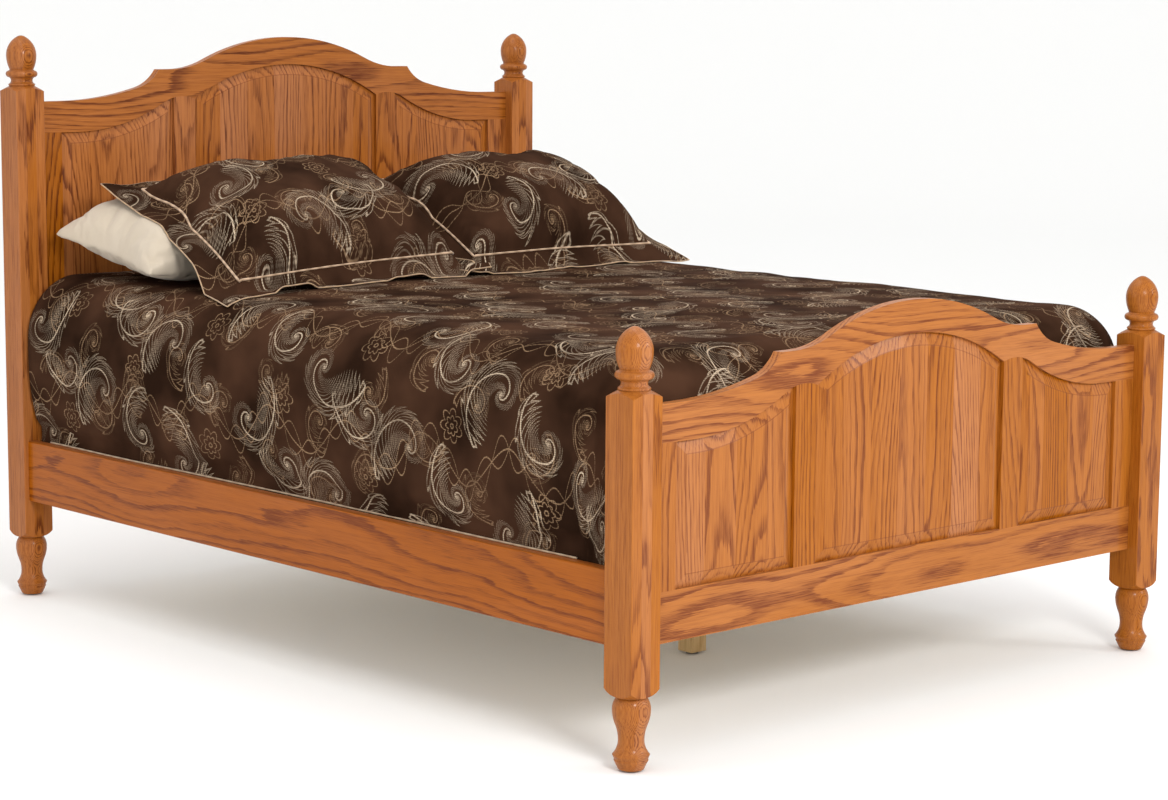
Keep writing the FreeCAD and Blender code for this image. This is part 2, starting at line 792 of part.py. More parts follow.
def comforter():
    """Quilted cover, full at its sides, rounded over the foot and tucked inside the rails."""
    head = mattress_length / 2 + comforter_head_overhang
    foot = -mattress_length / 2 - comforter_foot_reach
    sections = []
    for i in range(comforter_ripples + 1):
        y = head + (foot - comforter_trim - head) * i / comforter_ripples
        bulge = comforter_bulge + comforter_bulge_wave * math.cos(math.pi * i)
        sections.append(comforter_section(y, bulge))
    cover = Part.makeLoft(sections, True, True)

    low = rail_bottom
    high = comforter_top + comforter_trim
    radius = comforter_foot_shoulder
    brow = Vector(0, foot + radius, comforter_top)
    cheek = Vector(0, foot, comforter_top - radius)
    centre = Vector(0, foot + radius, comforter_top - radius)
    profile = [line(Vector(0, foot, low), cheek), arc_through(centre, cheek, brow),
               line(brow, Vector(0, foot + radius, high)),
               line(Vector(0, foot + radius, high), Vector(0, head, high)),
               line(Vector(0, head, high), Vector(0, head, low)),
               line(Vector(0, head, low), Vector(0, foot, low))]
    side_face = Part.Face(Part.Wire(profile))
    side_face.translate(Vector(-mattress_width, 0, 0))
    cover = cover.common(side_face.extrude(Vector(2 * mattress_width, 0, 0)))

    beyond = mattress_width / 2 + 2 * comforter_bulge
    waist = frame_half_width - soft_clearance
    post_face = -rail_half_length + soft_clearance
    reach = post_face - foot
    bend = Vector(waist, post_face + comforter_corner, 0)
    wide = Vector(waist + comforter_corner, bend.y, 0)
    neck = Vector(waist, post_face, 0)
    toe = Vector(waist - reach, foot, 0)

    def flip(v):
        return Vector(-v.x, v.y, 0)

    plan = [line(toe, neck), arc_through(bend, neck, wide), line(wide, Vector(beyond, wide.y, 0)),
            line(Vector(beyond, wide.y, 0), Vector(beyond, head, 0)),
            line(Vector(beyond, head, 0), Vector(-beyond, head, 0)),
            line(Vector(-beyond, head, 0), Vector(-beyond, wide.y, 0)),
            line(Vector(-beyond, wide.y, 0), flip(wide)), arc_through(flip(bend), flip(wide), flip(neck)),
            line(flip(neck), flip(toe)), line(flip(toe), toe)]
    cover = cover.common(Part.Face(Part.Wire(plan)).extrude(Vector(0, 0, high)))

    inside = soft_block(mattress_width / 2 + soft_clearance, -mattress_length / 2 - soft_clearance,
                        head + 2 * mattress_corner, low - mattress_edge,
                        mattress_top + soft_clearance, mattress_edge)
    return one(cover.cut(inside))


# ---- Pillows ------------------------------------------------------------------------


def pillow(corners, flange, crown, belly, draw_in):
    """Cushion between its front corners and its back corners: front left, front right,
    back left, back right. It swells by crown above and belly below, inside its flange."""
    front_left, front_right, back_left, back_right = corners
    width = (front_right - front_left).Length
    rim = flange / width
    normal = (front_right - front_left).cross(back_left - front_left)
    normal.normalize()
    fractions = [0.0]
    for i in range(pillow_steps + 1):
        fractions.append(rim + (1 - 2 * rim) * (1 - math.cos(math.pi * i / pillow_steps)) / 2)
    fractions.append(1.0)
    if not flange:
        fractions = fractions[1:-1]
    sections = []
    for u in fractions:
        inner = min(max((u - rim) / (1 - 2 * rim), 0.0), 1.0)
        fullness = math.sqrt(max(1 - abs(2 * inner - 1) ** pillow_fullness, 0.0))
        front = front_left + (front_right - front_left) * u
        back = back_left + (back_right - back_left) * u
        along = back - front
        along.normalize()
        pull = along * (draw_in * math.sin(math.pi * u))
        front = front + pull
        back = back - pull
        up = normal - along * normal.dot(along)
        up.normalize()
        half = up * (pillow_edge / 2)
        seam_front = front + along * flange
        seam_back = back - along * flange
        middle = (front + back) / 2
        top = middle + half + up * max(crown * fullness, seam_rise)
        under = middle - half - up * max(belly * fullness, seam_rise)
        edges = [Part.Arc(seam_front - half, under, seam_back - half).toShape()]
        if flange:
            edges.append(line(seam_back - half, back - half))
        edges.append(line(back - half, back + half))
        if flange:
            edges.append(line(back + half, seam_back + half))
        edges.append(Part.Arc(seam_back + half, top, seam_front + half).toShape())
        if flange:
            edges.append(line(seam_front + half, front + half))
        edges.append(line(front + half, front - half))
        if flange:
            edges.append(line(front - half, seam_front - half))
        sections.append(Part.Wire(edges))
    return Part.makeLoft(sections, True, True)


def settled(piece, supports):
    """The piece, lowered until it rests just clear of what carries it."""
    for _ in range(settling_steps):
        gap = min(piece.distToShape(item)[0] for item in supports)
        piece = placed(piece, 0, 0, soft_clearance - gap)
    return piece


def from_headboard(x, distance, lift):
    return Vector(x, headboard_face - distance, comforter_top + lift)


def sleeping_pillow():
    """Right sleeping pillow."""
    corners = [from_headboard(pillow_inner_x, pillow_front, pillow_front_lift),
               from_headboard(pillow_outer_x, pillow_front, pillow_front_lift),
               from_headboard(pillow_inner_x, pillow_back, pillow_back_lift),
               from_headboard(pillow_outer_x, pillow_back, pillow_back_lift)]
    return pillow(corners, 0, pillow_crown, pillow_belly, pillow_draw_in)


def sham_right():
    corners = [from_headboard(-soft_clearance, sham_front, sham_front_lift),
               from_headboard(sham_outer_x, sham_front, sham_front_lift),
               from_headboard(sham_overlap, sham_back, sham_back_lift),
               from_headboard(sham_outer_x + sham_overlap, sham_back, sham_back_lift)]
    return pillow(corners, sham_flange, sham_crown, sham_belly, sham_draw_in)


def sham_left():
    """Left sham, leaning a little to one side with its inner edge over its neighbour's."""
    corners = [from_headboard(-sham_outer_x, sham_front + sham_front_skew, sham_front_lift),
               from_headboard(0, sham_front, sham_front_lift + sham_overlap_lift),
               from_headboard(-sham_outer_x + sham_lean, sham_back, sham_back_lift),
               from_headboard(sham_lean, sham_back, sham_back_lift + sham_overlap_lift / 2)]
    return pillow(corners, sham_flange, sham_crown, sham_belly, sham_draw_in)


# ---- Build --------------------------------------------------------------------------

head_tenons = make_frame("headboard", head_crest_level, headboard_rail_bottom, post_y)
foot_tenons = make_frame("footboard", foot_crest_level, footboard_rail_bottom, -post_y)

foot_post = make_post(foot_post_height, foot_tenons, slot_screws(screw_clearance))
head_post = mirrored_y(make_post(head_post_height, head_tenons, slot_screws(screw_clearance)))
save("foot_post_right", foot_post)
save("foot_post_left", mirrored_x(foot_post))
save("head_post_right", head_post)
save("head_post_left", mirrored_x(head_post))

for side, turned in (("right", lambda shape: shape), ("left", mirrored_x)):
    save("side_rail_" + side, turned(side_rail()))
    save("slat_cleat_" + side, turned(cleat()))
    for end, (hooked, slotted) in zip(("foot", "head"),
                                      zip(both_ends(hook_plate()), both_ends(slot_plate()))):
        save("hook_plate_" + end + "_" + side, turned(hooked))
        save("slot_plate_" + end + "_" + side, turned(slotted))

for number, y in enumerate(slat_places(), 1):
    save("slat_" + str(number), slat(y))
for number, y in enumerate(slat_places()[1:-1], 1):
    save("centre_leg_" + str(number), centre_leg(y))
leg_glides = [placed(Part.makeCylinder(leg_glide_radius, leg_glide_height), 0, y, 0)
              for y in slat_places()[1:-1]]
save("centre_leg_glides", Part.makeCompound(leg_glides))


def four_corners(shapes):
    """The shapes at all four corners of the bed."""
    front = shapes + [mirrored_x(item) for item in shapes]
    return Part.makeCompound(front + [mirrored_y(item) for item in front])


def both_sides(shapes):
    return Part.makeCompound(shapes + [mirrored_x(item) for item in shapes])


save("hook_plate_screws", four_corners(plate_screws()))
save("slot_plate_screws", four_corners(slot_screws()))
save("cleat_screws", both_sides(cleat_screws()))
save("slat_screws", both_sides(slat_screws()))
save("centre_leg_screws", Part.makeCompound(leg_screws()))
save("post_glides", four_corners([glide(post_x, -post_y)]))

save("foundation", foundation())
save("mattress", mattress())
cover = comforter()
save("comforter", cover)

pillow_right = settled(sleeping_pillow(), [cover])
pillow_left = mirrored_x(pillow_right)
right = settled(sham_right(), [cover, pillow_right])
left = settled(sham_left(), [cover, pillow_left, right])
save("pillow_right", pillow_right)
save("pillow_left", pillow_left)
save("sham_right", right)
save("sham_left", left)
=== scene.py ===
"""Looks for the panel bed: lacquered oak, woven bedding, hardware and a plain studio."""

import math

import bmesh
import bpy
import numpy as np
from bpy.props import (
    FloatProperty,
    FloatVectorProperty,
    IntProperty,
    PointerProperty,
)
from mathutils import Matrix, Vector
from mathutils.bvhtree import BVHTree


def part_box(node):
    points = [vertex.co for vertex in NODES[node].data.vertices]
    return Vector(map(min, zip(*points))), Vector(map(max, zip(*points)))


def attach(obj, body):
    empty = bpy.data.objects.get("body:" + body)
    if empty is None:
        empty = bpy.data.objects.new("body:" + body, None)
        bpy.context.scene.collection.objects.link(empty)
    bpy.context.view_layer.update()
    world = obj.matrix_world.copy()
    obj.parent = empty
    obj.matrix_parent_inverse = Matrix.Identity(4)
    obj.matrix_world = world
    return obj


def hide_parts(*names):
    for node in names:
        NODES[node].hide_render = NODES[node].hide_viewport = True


bl_info = {
    "name": "Panel bed",
    "version": (1, 0, 0),
    "blender": (4, 5, 0),
    "location": "3D View > Sidebar > Bed",
    "description": "Dresses a panel bed with oak, metal and bedding, and lights it",
    "category": "Object",
}

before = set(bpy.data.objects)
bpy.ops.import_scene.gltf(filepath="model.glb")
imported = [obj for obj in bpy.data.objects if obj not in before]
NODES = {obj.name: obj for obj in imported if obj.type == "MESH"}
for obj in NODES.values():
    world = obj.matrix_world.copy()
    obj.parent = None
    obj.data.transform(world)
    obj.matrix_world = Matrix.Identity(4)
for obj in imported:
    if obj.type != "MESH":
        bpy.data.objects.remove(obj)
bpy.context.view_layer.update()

MATH = "ShaderNodeMath"
NOISE = "ShaderNodeTexNoise"
SEPARATE = "ShaderNodeSeparateXYZ"
COMBINE = "ShaderNodeCombineXYZ"
WHITE = "ShaderNodeTexWhiteNoise"
RANGE = "ShaderNodeMapRange"
MIX = "ShaderNodeMix"
VECTOR = "ShaderNodeVectorMath"
BUMP = "ShaderNodeBump"
COORDINATES = "ShaderNodeTexCoord"
RESULT = {"out": "Result", "data_type": "RGBA"}


# ---- Colour and node helpers ---------------------------------------------------------


def linear(code):
    """An sRGB hex value as a linear colour with alpha."""
    values = [int(code[i : i + 2], 16) / 255 for i in (1, 3, 5)]
    return tuple(
        v / 12.92 if v <= 0.04045 else ((v + 0.055) / 1.055) ** 2.4 for v in values
    ) + (1.0,)


def opaque(colour):
    """A setting's colour as a node value, with alpha."""
    return tuple(colour) + (1.0,)


def builder(tree):
    """The function that adds nodes to a tree."""

    def add(kind, inputs=(), operation=None, out=0, **settings):
        """Adds a node, and returns one of its outputs, or all of them when out is None.

        Inputs go by name or place: a socket is linked, anything else is set.
        """
        made = tree.nodes.new(kind)
        if operation:
            made.operation = operation
        for key, value in settings.items():
            setattr(made, key, value)
        if not isinstance(inputs, dict):
            inputs = dict(enumerate(inputs))
        for key, value in inputs.items():
            if isinstance(value, bpy.types.NodeSocket):
                tree.links.new(value, made.inputs[key])
            else:
                made.inputs[key].default_value = value
        return made.outputs if out is None else made.outputs[out]

    return add


def new_material(name):
    """A material, and the function that adds nodes to it."""
    material = bpy.data.materials.new(name)
    material.use_nodes = True
    material.node_tree.nodes.clear()
    return material, builder(material.node_tree)


def surfaced(material, add, inputs):
    """The material with its shader, which takes what its nodes feed and its even values."""
    shader = add("ShaderNodeBsdfPrincipled", inputs)
    add("ShaderNodeOutputMaterial", {"Surface": shader}, out=None)
    return material


# ---- Wood ----------------------------------------------------------------------------


BOARD_VALUES = ("Board edge", "Stave width", "Heart spread", "Ring width", "Taper", "Pith depth",
                "Drift")


def ring_figure():
    """Growth rings of boards sawn from a log, cut by whatever surface shows them.

    The input vector holds metres along the grain, across the face and into the board.
    """
    tree = bpy.data.node_groups.new("sawn oak figure", "ShaderNodeTree")
    add = builder(tree)
    tree.interface.new_socket("Place", in_out="INPUT", socket_type="NodeSocketVector")
    for way, names in (("INPUT", BOARD_VALUES + ("Seed",)),
                       ("OUTPUT", ("Figure", "Tone", "Relief"))):
        for name in names:
            tree.interface.new_socket(name, in_out=way, socket_type="NodeSocketFloat")
    given = add("NodeGroupInput", out=None)
    place = add(SEPARATE, [given["Place"]], out=None)
    along, across, deep = place[0], place[1], place[2]
    seed = given["Seed"]

    # staves: each is a strip of its own log
    shifted = add(MATH, (across, given["Board edge"]), "SUBTRACT")
    strips = add(MATH, (shifted, given["Stave width"]), "DIVIDE")
    stave = add(MATH, (strips,), "FLOOR")
    label = add(COMBINE, (stave, seed, 0.0))
    chance = add(WHITE, {"Vector": label}, out="Color", noise_dimensions="3D")
    luck = add(SEPARATE, [chance], out=None)
    inside = add(MATH, (strips, stave), "SUBTRACT")
    heart = add(MATH, (luck[0], -0.5), "ADD")
    heart = add(MATH, (heart, given["Heart spread"]), "MULTIPLY")
    aside = add(MATH, (inside, heart), "SUBTRACT")
    aside = add(MATH, (aside, -0.5), "ADD")
    aside = add(MATH, (aside, given["Stave width"]), "MULTIPLY")

    # how far the log's middle lies behind the face, which drifts along the board
    lean = add(MATH, (luck[1], 2.0, -1.0), "MULTIPLY_ADD")
    lean = add(MATH, (lean, given["Taper"]), "MULTIPLY")
    far = add(MATH, (luck[2], given["Pith depth"], 0.015), "MULTIPLY_ADD")
    depth = add(MATH, (along, lean, far), "MULTIPLY_ADD")
    depth = add(MATH, (depth, deep), "ADD")
    own = add(MATH, (stave, 3.7, seed), "MULTIPLY_ADD")
    slow = add(COMBINE, (along, across, own))
    slow = add(VECTOR, (slow, (1.3, 1.1, 1.0)), "MULTIPLY")
    drift = add(NOISE, {"Vector": slow, "Scale": 1.0, "Detail": 1.0})
    drift = add(MATH, (drift, -0.5), "ADD")
    drift = add(MATH, (drift, given["Drift"]), "MULTIPLY")
    depth = add(MATH, (depth, drift), "ADD")

    # distance from the log's middle, with the wander of real rings
    square_a = add(MATH, (aside, aside), "MULTIPLY")
    square = add(MATH, (depth, depth, square_a), "MULTIPLY_ADD")
    radius = add(MATH, (square, 0.5), "POWER")
    grain = add(COMBINE, (along, across, deep))
    lot = add(COMBINE, (own, stave, seed))
    grain = add(VECTOR, (grain, lot), "ADD")
    wavy = add(VECTOR, (grain, (4.0, 19.0, 19.0)), "MULTIPLY")
    wander = add(NOISE, {"Vector": wavy, "Scale": 1.0, "Detail": 2.0})
    radius = add(MATH, (wander, 0.0045, radius), "MULTIPLY_ADD")
    jagged = add(VECTOR, (grain, (19.0, 330.0, 330.0)), "MULTIPLY")
    jag = add(NOISE, {"Vector": jagged, "Scale": 1.0, "Detail": 2.0})
    radius = add(MATH, (jag, 0.0013, radius), "MULTIPLY_ADD")
    rings = add(MATH, (radius, given["Ring width"]), "DIVIDE")
    ring = add(MATH, (rings,), "FLOOR")
    within = add(MATH, (rings, ring), "SUBTRACT")
    ring_label = add(MATH, (stave, 17.0, ring), "MULTIPLY_ADD")
    vigour = add(WHITE, {"W": ring_label}, noise_dimensions="1D")
    vigour = add(MATH, (vigour, 0.65, 0.35), "MULTIPLY_ADD")

    # early wood: a dark, porous band that starts sharply and fades
    fade = add(RANGE, (within, 0.1, 0.58, 1.0, 0.0), interpolation_type="SMOOTHSTEP")
    start = add(RANGE, (within, 0.0, 0.1, 0.0, 1.0), interpolation_type="SMOOTHSTEP")
    band = add(MATH, (fade, start), "MULTIPLY")
    band = add(MATH, (band, vigour), "MULTIPLY")

    # pores: dark streaks along the grain, 0.3 mm wide, drawn 1.5 mm wide so that they show
    streaks = add(VECTOR, (grain, (17.0, 640.0, 640.0)), "MULTIPLY")
    pore = add(NOISE, {"Vector": streaks, "Scale": 1.0, "Detail": 2.0})
    pore = add(RANGE, (pore, 0.47, 0.66, 0.0, 1.0))
    in_band = add(MATH, (band, 0.7, 0.3), "MULTIPLY_ADD")
    pores = add(MATH, (pore, in_band), "MULTIPLY")
    fibres = add(VECTOR, (grain, (3.0, 130.0, 130.0)), "MULTIPLY")
    fibre = add(NOISE, {"Vector": fibres, "Scale": 1.0, "Detail": 3.0})
    figure = add(MATH, (band, 0.72, pores), "MULTIPLY_ADD")
    fibre_tone = add(MATH, (fibre, 0.8, -0.34), "MULTIPLY_ADD")
    figure = add(MATH, (figure, fibre_tone), "ADD", use_clamp=True)

    # tone: staves differ, and the stain lies unevenly
    broad = add(VECTOR, (grain, (1.7, 9.0, 9.0)), "MULTIPLY")
    cloud = add(NOISE, {"Vector": broad, "Scale": 1.0, "Detail": 2.0})
    tone = add(MATH, (luck[0], luck[1]), "ADD")
    tone = add(MATH, (tone, 0.5, -0.5), "MULTIPLY_ADD")
    tone = add(MATH, (cloud, 0.8, tone), "MULTIPLY_ADD")
    tone = add(MATH, (tone, -0.4), "ADD")
    add("NodeGroupOutput", {"Figure": figure, "Tone": tone, "Relief": pores}, out=None)
    return tree


def wood(node, kind, figure, axes, colours, seed, shape, into=1.0, roughness=0.4, coat=0.15):
    """Timber for one node, cut so that it shows the figure as the real board does.

    Axes name the row axes that run along, across and into the board. Shape holds the stave
    width and what follows it in BOARD_VALUES, and the board is made of a whole number of
    staves, each about as wide as asked. Into says how steeply the rings lie, and so how much
    a cut into the board changes them.
    """
    light, dark = colours
    low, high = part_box(node)
    edge = low["XYZ".index(axes[1])]
    width = high["XYZ".index(axes[1])] - edge
    stave = width / max(1, round(width / shape[0]))
    material, add = new_material(kind + ", " + node.replace("_", " "))
    parts = add(SEPARATE, [add(COORDINATES, out="Object")], out=None)
    turned = add(COMBINE, [parts["XYZ".index(axis)] for axis in axes])
    turned = add(VECTOR, (turned, (1.0, 1.0, into)), "MULTIPLY")
    given = {"Place": turned, "Seed": seed, **dict(zip(BOARD_VALUES, (edge, stave) + shape[1:]))}
    grain = add("ShaderNodeGroup", given, out=None, node_tree=figure)
    finish = add(MIX, {"Factor": grain["Figure"], "A": light, "B": dark}, **RESULT)
    brightness = add(MATH, (grain["Tone"], -0.2, 1.0), "MULTIPLY_ADD")
    saturation = add(MATH, (grain["Tone"], 0.12, 1.0), "MULTIPLY_ADD")
    finish = add("ShaderNodeHueSaturation", {"Color": finish, "Value": brightness,
                                             "Saturation": saturation})
    if "_panel_" in node:
        # painted shade along the raised field's edge, as a dark line 3 mm wide on the bevel
        sunk = add(MATH, (parts[1], low.y), "SUBTRACT")
        line = add(RANGE, (sunk, 0.0001, 0.0009, 1.0, 0.0))
        below = add(MATH, (sunk, 0.00005), "GREATER_THAN")
        edge_shade_mask = add(MATH, (line, below), "MULTIPLY")
        painted_edge_shade = add(MATH, (edge_shade_mask, 0.65), "MULTIPLY")
        finish = add(MIX, {"Factor": painted_edge_shade, "A": finish, "B": dark}, **RESULT)
    # semi-gloss lacquer, sprayed over open grain: soft highlights, and pores that stay a
    # little duller and lower
    rough = add(MATH, (grain["Relief"], 0.2, roughness), "MULTIPLY_ADD")
    relief = add(MATH, (grain["Relief"], -1.0), "MULTIPLY")
    bump = add(BUMP, {"Height": relief, "Strength": 0.25, "Distance": 0.0002})
    return surfaced(material, add, {
        "Base Color": finish, "Roughness": rough, "Normal": bump, "IOR": 1.5,
        "Specular IOR Level": 0.12, "Coat Weight": coat, "Coat Roughness": 0.12})


# ---- Fabrics -------------------------------------------------------------------------


def motif_place(add, cloth, cell, shift, seed):
    """Places a motif in each cell of a half-drop repeat, turned to suit its neighbours.

    Returns the distance from the motif's middle and the angle round it.
    """
    moved = add(VECTOR, (cloth, (shift[0] * cell, shift[1] * cell, 0.0)), "ADD")
    cells = add(VECTOR, (moved, (1 / cell, 1 / cell, 1.0)), "MULTIPLY")
    parts = add(SEPARATE, [cells], out=None)
    column = add(MATH, (parts[0],), "FLOOR")
    dropped = add(MATH, (column, 0.5, parts[1]), "MULTIPLY_ADD")
    row = add(MATH, (dropped,), "FLOOR")
    x = add(MATH, (parts[0], column), "SUBTRACT")
    y = add(MATH, (dropped, row), "SUBTRACT")
    local = add(COMBINE, (x, y, 0.0))
    local = add(VECTOR, (local, (0.5, 0.5, 0.0)), "SUBTRACT")
    local = add(VECTOR, (local, (cell, cell, 0.0)), "MULTIPLY")
    odd_column = add(MATH, (column, 3.0), "FLOORED_MODULO")
    odd_row = add(MATH, (row, 2.0), "FLOORED_MODULO")
    label = add(COMBINE, (odd_column, odd_row, seed))
    turn = add(WHITE, {"Vector": label}, noise_dimensions="3D")
    radius = add(VECTOR, (local,), "LENGTH", out="Value")
    sides = add(SEPARATE, [local], out=None)
    angle = add(MATH, (sides[1], sides[0]), "ARCTAN2")
    angle = add(MATH, (turn, 2 * math.pi, angle), "MULTIPLY_ADD")
    return radius, angle


def drawn(add, gap, line, masks=()):
    """A line where the gap is smaller than half its width, kept inside the masks."""
    made = add(RANGE, (gap, 0.55 * line, 1.3 * line, 1.0, 0.0), interpolation_type="SMOOTHSTEP")
    for mask in masks:
        made = add(MATH, (made, mask), "MULTIPLY")
    return made


def brightest(add, lines):
    """The brightest of several lines."""
    total = lines[0]
    for more in lines[1:]:
        total = add(MATH, (total, more), "MAXIMUM")
    return total


def plume(add, cloth, cell, shift, seed, reach, curl, ribs, line):
    """A scroll: a spiral stem that carries a ribbed leaf, wide outside and curled inside."""
    radius, angle = motif_place(add, cloth, cell, shift, seed)
    depth = add(MATH, (radius, 1 / reach), "MULTIPLY")
    depth = add(MATH, (depth, math.e), "LOGARITHM")
    phase = add(MATH, (depth, curl, angle), "MULTIPLY_ADD")
    phase = add(MATH, (phase, 0.5 / math.pi, 0.5), "MULTIPLY_ADD")
    wrapped = add(MATH, (phase,), "FRACT")
    wrapped = add(MATH, (wrapped, -0.5), "ADD")
    off = add(MATH, (wrapped, radius), "MULTIPLY")
    off = add(MATH, (off, 2 * math.pi / math.hypot(1, curl)), "MULTIPLY")
    away = add(MATH, (off,), "ABSOLUTE")
    share = add(MATH, (radius, 1 / reach), "MULTIPLY", use_clamp=True)
    rest = add(MATH, (1.0, share), "SUBTRACT")
    swell = add(MATH, (share, rest), "MULTIPLY")
    toothed = add(MATH, (depth, ribs), "MULTIPLY")
    toothed = add(MATH, (toothed, 0.5), "PINGPONG")
    lobes = add(MATH, (toothed, 1.1, 0.5), "MULTIPLY_ADD")
    half = add(MATH, (swell, lobes), "MULTIPLY")
    half = add(MATH, (half, 1.25 * reach), "MULTIPLY")
    rim = add(MATH, (away, half), "SUBTRACT")
    rim = add(MATH, (rim,), "ABSOLUTE")
    inside = add(MATH, (away, half), "LESS_THAN")
    within = add(MATH, (radius, reach), "LESS_THAN")
    swept = add(MATH, (away, 2.6 / reach), "MULTIPLY")
    rib = add(MATH, (depth, ribs, swept), "MULTIPLY_ADD")
    rib = add(MATH, (rib, 0.5), "PINGPONG")
    rib = add(MATH, (rib, radius), "MULTIPLY")
    rib = add(MATH, (rib, 1 / ribs), "MULTIPLY")
    wide = add(RANGE, (share, 0.25, 0.5, 0.0, 0.55))
    rim_weight = add(MATH, (within, 0.75), "MULTIPLY")
    return brightest(add, (
        drawn(add, away, 1.2 * line, (within,)),
        drawn(add, rim, line, (rim_weight,)),
        drawn(add, rib, 0.6 * line, (inside, within, wide)),
    ))


def rosette(add, cloth, cell, shift, seed, reach, petals, line):
    """A small flower head: petals, an inner ring of petals and an eye."""
    radius, angle = motif_place(add, cloth, cell, shift, seed)
    wave = add(MATH, (angle, petals / 2), "MULTIPLY")
    wave = add(MATH, (wave,), "COSINE")
    wave = add(MATH, (wave,), "ABSOLUTE")
    edge = add(MATH, (wave, 0.34 * reach, 0.66 * reach), "MULTIPLY_ADD")
    outer = add(MATH, (radius, edge), "SUBTRACT")
    outer = add(MATH, (outer,), "ABSOLUTE")
    inner = add(MATH, (edge, -0.56, radius), "MULTIPLY_ADD")
    inner = add(MATH, (inner,), "ABSOLUTE")
    eye = add(MATH, (radius, -0.13 * reach), "ADD")
    eye = add(MATH, (eye,), "ABSOLUTE")
    return brightest(add, (drawn(add, outer, line), drawn(add, inner, line),
                            drawn(add, eye, line)))


def vine(add, cloth, cell, shift, swing, line):
    """A wandering stem with pointed leaves beside it, along the first direction."""
    parts = add(SEPARATE, [cloth], out=None)
    run = add(MATH, (parts[0], 2 * math.pi / cell, shift), "MULTIPLY_ADD")
    wave = add(MATH, (run,), "SINE")
    y = add(MATH, (parts[1], 1 / cell, shift), "MULTIPLY_ADD")
    y = add(MATH, (y,), "FRACT")
    y = add(MATH, (y, -0.5), "ADD")
    gap = add(MATH, (wave, -swing, y), "MULTIPLY_ADD")
    gap = add(MATH, (gap, 0.75 * cell), "MULTIPLY")
    away = add(MATH, (gap,), "ABSOLUTE")
    leaf = add(MATH, (parts[0], 5 / cell), "MULTIPLY")
    leaf = add(MATH, (leaf, 1.0), "PINGPONG")
    bow = add(MATH, (leaf, math.pi), "MULTIPLY")
    bow = add(MATH, (bow,), "SINE")
    blade = add(MATH, (bow, -0.09 * cell, away), "MULTIPLY_ADD")
    blade = add(MATH, (blade,), "ABSOLUTE")
    return brightest(add, (drawn(add, away, line), drawn(add, blade, line)))


def woven_jacquard(settings):
    """Satin jacquard, woven: smooth dark ground with a soft sheen, dull gold floats."""
    material, add = new_material("woven satin jacquard")
    flat = add("ShaderNodeUVMap", uv_map="cloth")
    # the cloth is never quite flat, so its lines wander a little
    soft = add(NOISE, {"Vector": flat, "Scale": 7.0, "Detail": 1.0}, out="Color")
    bent = add(VECTOR, (soft, (0.024, 0.024, 0.0)), "MULTIPLY")
    cloth = add(VECTOR, (flat, bent), "ADD")
    cell = settings.scroll_repeat
    line = settings.thread_line
    bright = brightest(add, (
        plume(add, cloth, cell, (0.0, 0.0), seed=1.0, reach=0.5 * cell, curl=2.0, ribs=9.0,
              line=line),
        plume(add, cloth, cell, (0.5, 0.3), seed=2.0, reach=0.4 * cell, curl=-2.4, ribs=7.0,
              line=line),
    ))
    dull = brightest(add, (
        rosette(add, cloth, cell, (0.47, 0.78), seed=3.0, reach=0.13 * cell, petals=7,
                line=line),
        plume(add, cloth, 0.61 * cell, (0.2, 0.6), seed=4.0, reach=0.26 * cell, curl=2.6,
              ribs=3.5, line=0.8 * line),
        vine(add, cloth, 0.93 * cell, shift=0.3, swing=0.17, line=0.8 * line),
    ))

    # floats break the lines into dots, drawn far coarser than the real 0.3 mm so that they show
    parts = add(SEPARATE, [flat], out=None)
    beat = 2 * math.pi / settings.float_pitch
    across = add(MATH, (parts[0], beat), "MULTIPLY")
    across = add(MATH, (across,), "SINE")
    upward = add(MATH, (parts[1], beat), "MULTIPLY")
    upward = add(MATH, (upward,), "SINE")
    dots = add(MATH, (across, upward), "ADD")
    dots = add(RANGE, (dots, -1.0, 0.4, 0.25, 1.0))
    # the gold weft comes and goes in strength over a hand's breadth
    uneven = add(NOISE, {"Vector": flat, "Scale": 14.0, "Detail": 1.0})
    uneven = add(RANGE, (uneven, 0.35, 0.65, 0.5, 1.0))
    dots = add(MATH, (dots, uneven), "MULTIPLY")
    bright = add(MATH, (bright, dots), "MULTIPLY")
    dull = add(MATH, (dull, dots), "MULTIPLY")
    lines = add(MATH, (bright, dull), "MAXIMUM")

    # painted sheen: the lighter patches of ground stand partly for the satin's own uneven tone and
    # partly for its sheen, painted into the colour
    tone_and_sheen = add(NOISE, {"Vector": flat, "Scale": 5.0, "Detail": 3.0})
    tone_and_sheen = add(RANGE, (tone_and_sheen, 0.35, 0.65, 0.0, 1.0))
    ground = add(MIX, {"Factor": tone_and_sheen, "A": opaque(settings.ground_dark),
                       "B": opaque(settings.ground_tone_and_sheen)}, **RESULT)
    colour = add(MIX, {"Factor": dull, "A": ground, "B": opaque(settings.thread_dull)},
                 **RESULT)
    colour = add(MIX, {"Factor": bright, "A": colour, "B": opaque(settings.thread)},
                 **RESULT)
    rough = add(MATH, (lines, 0.1, 0.65), "MULTIPLY_ADD")
    crumple = add(NOISE, {"Vector": flat, "Scale": 22.0, "Detail": 3.0})
    height = add(MATH, (lines, 0.12, crumple), "MULTIPLY_ADD")
    bump = add(BUMP, {"Height": height, "Strength": 0.35, "Distance": 0.002})
    return surfaced(material, add, {
        "Base Color": colour, "Roughness": rough, "Normal": bump, "Specular IOR Level": 0.002,
        "Sheen Weight": 0.014, "Sheen Roughness": 0.35, "Sheen Tint": linear("#B98F86")})


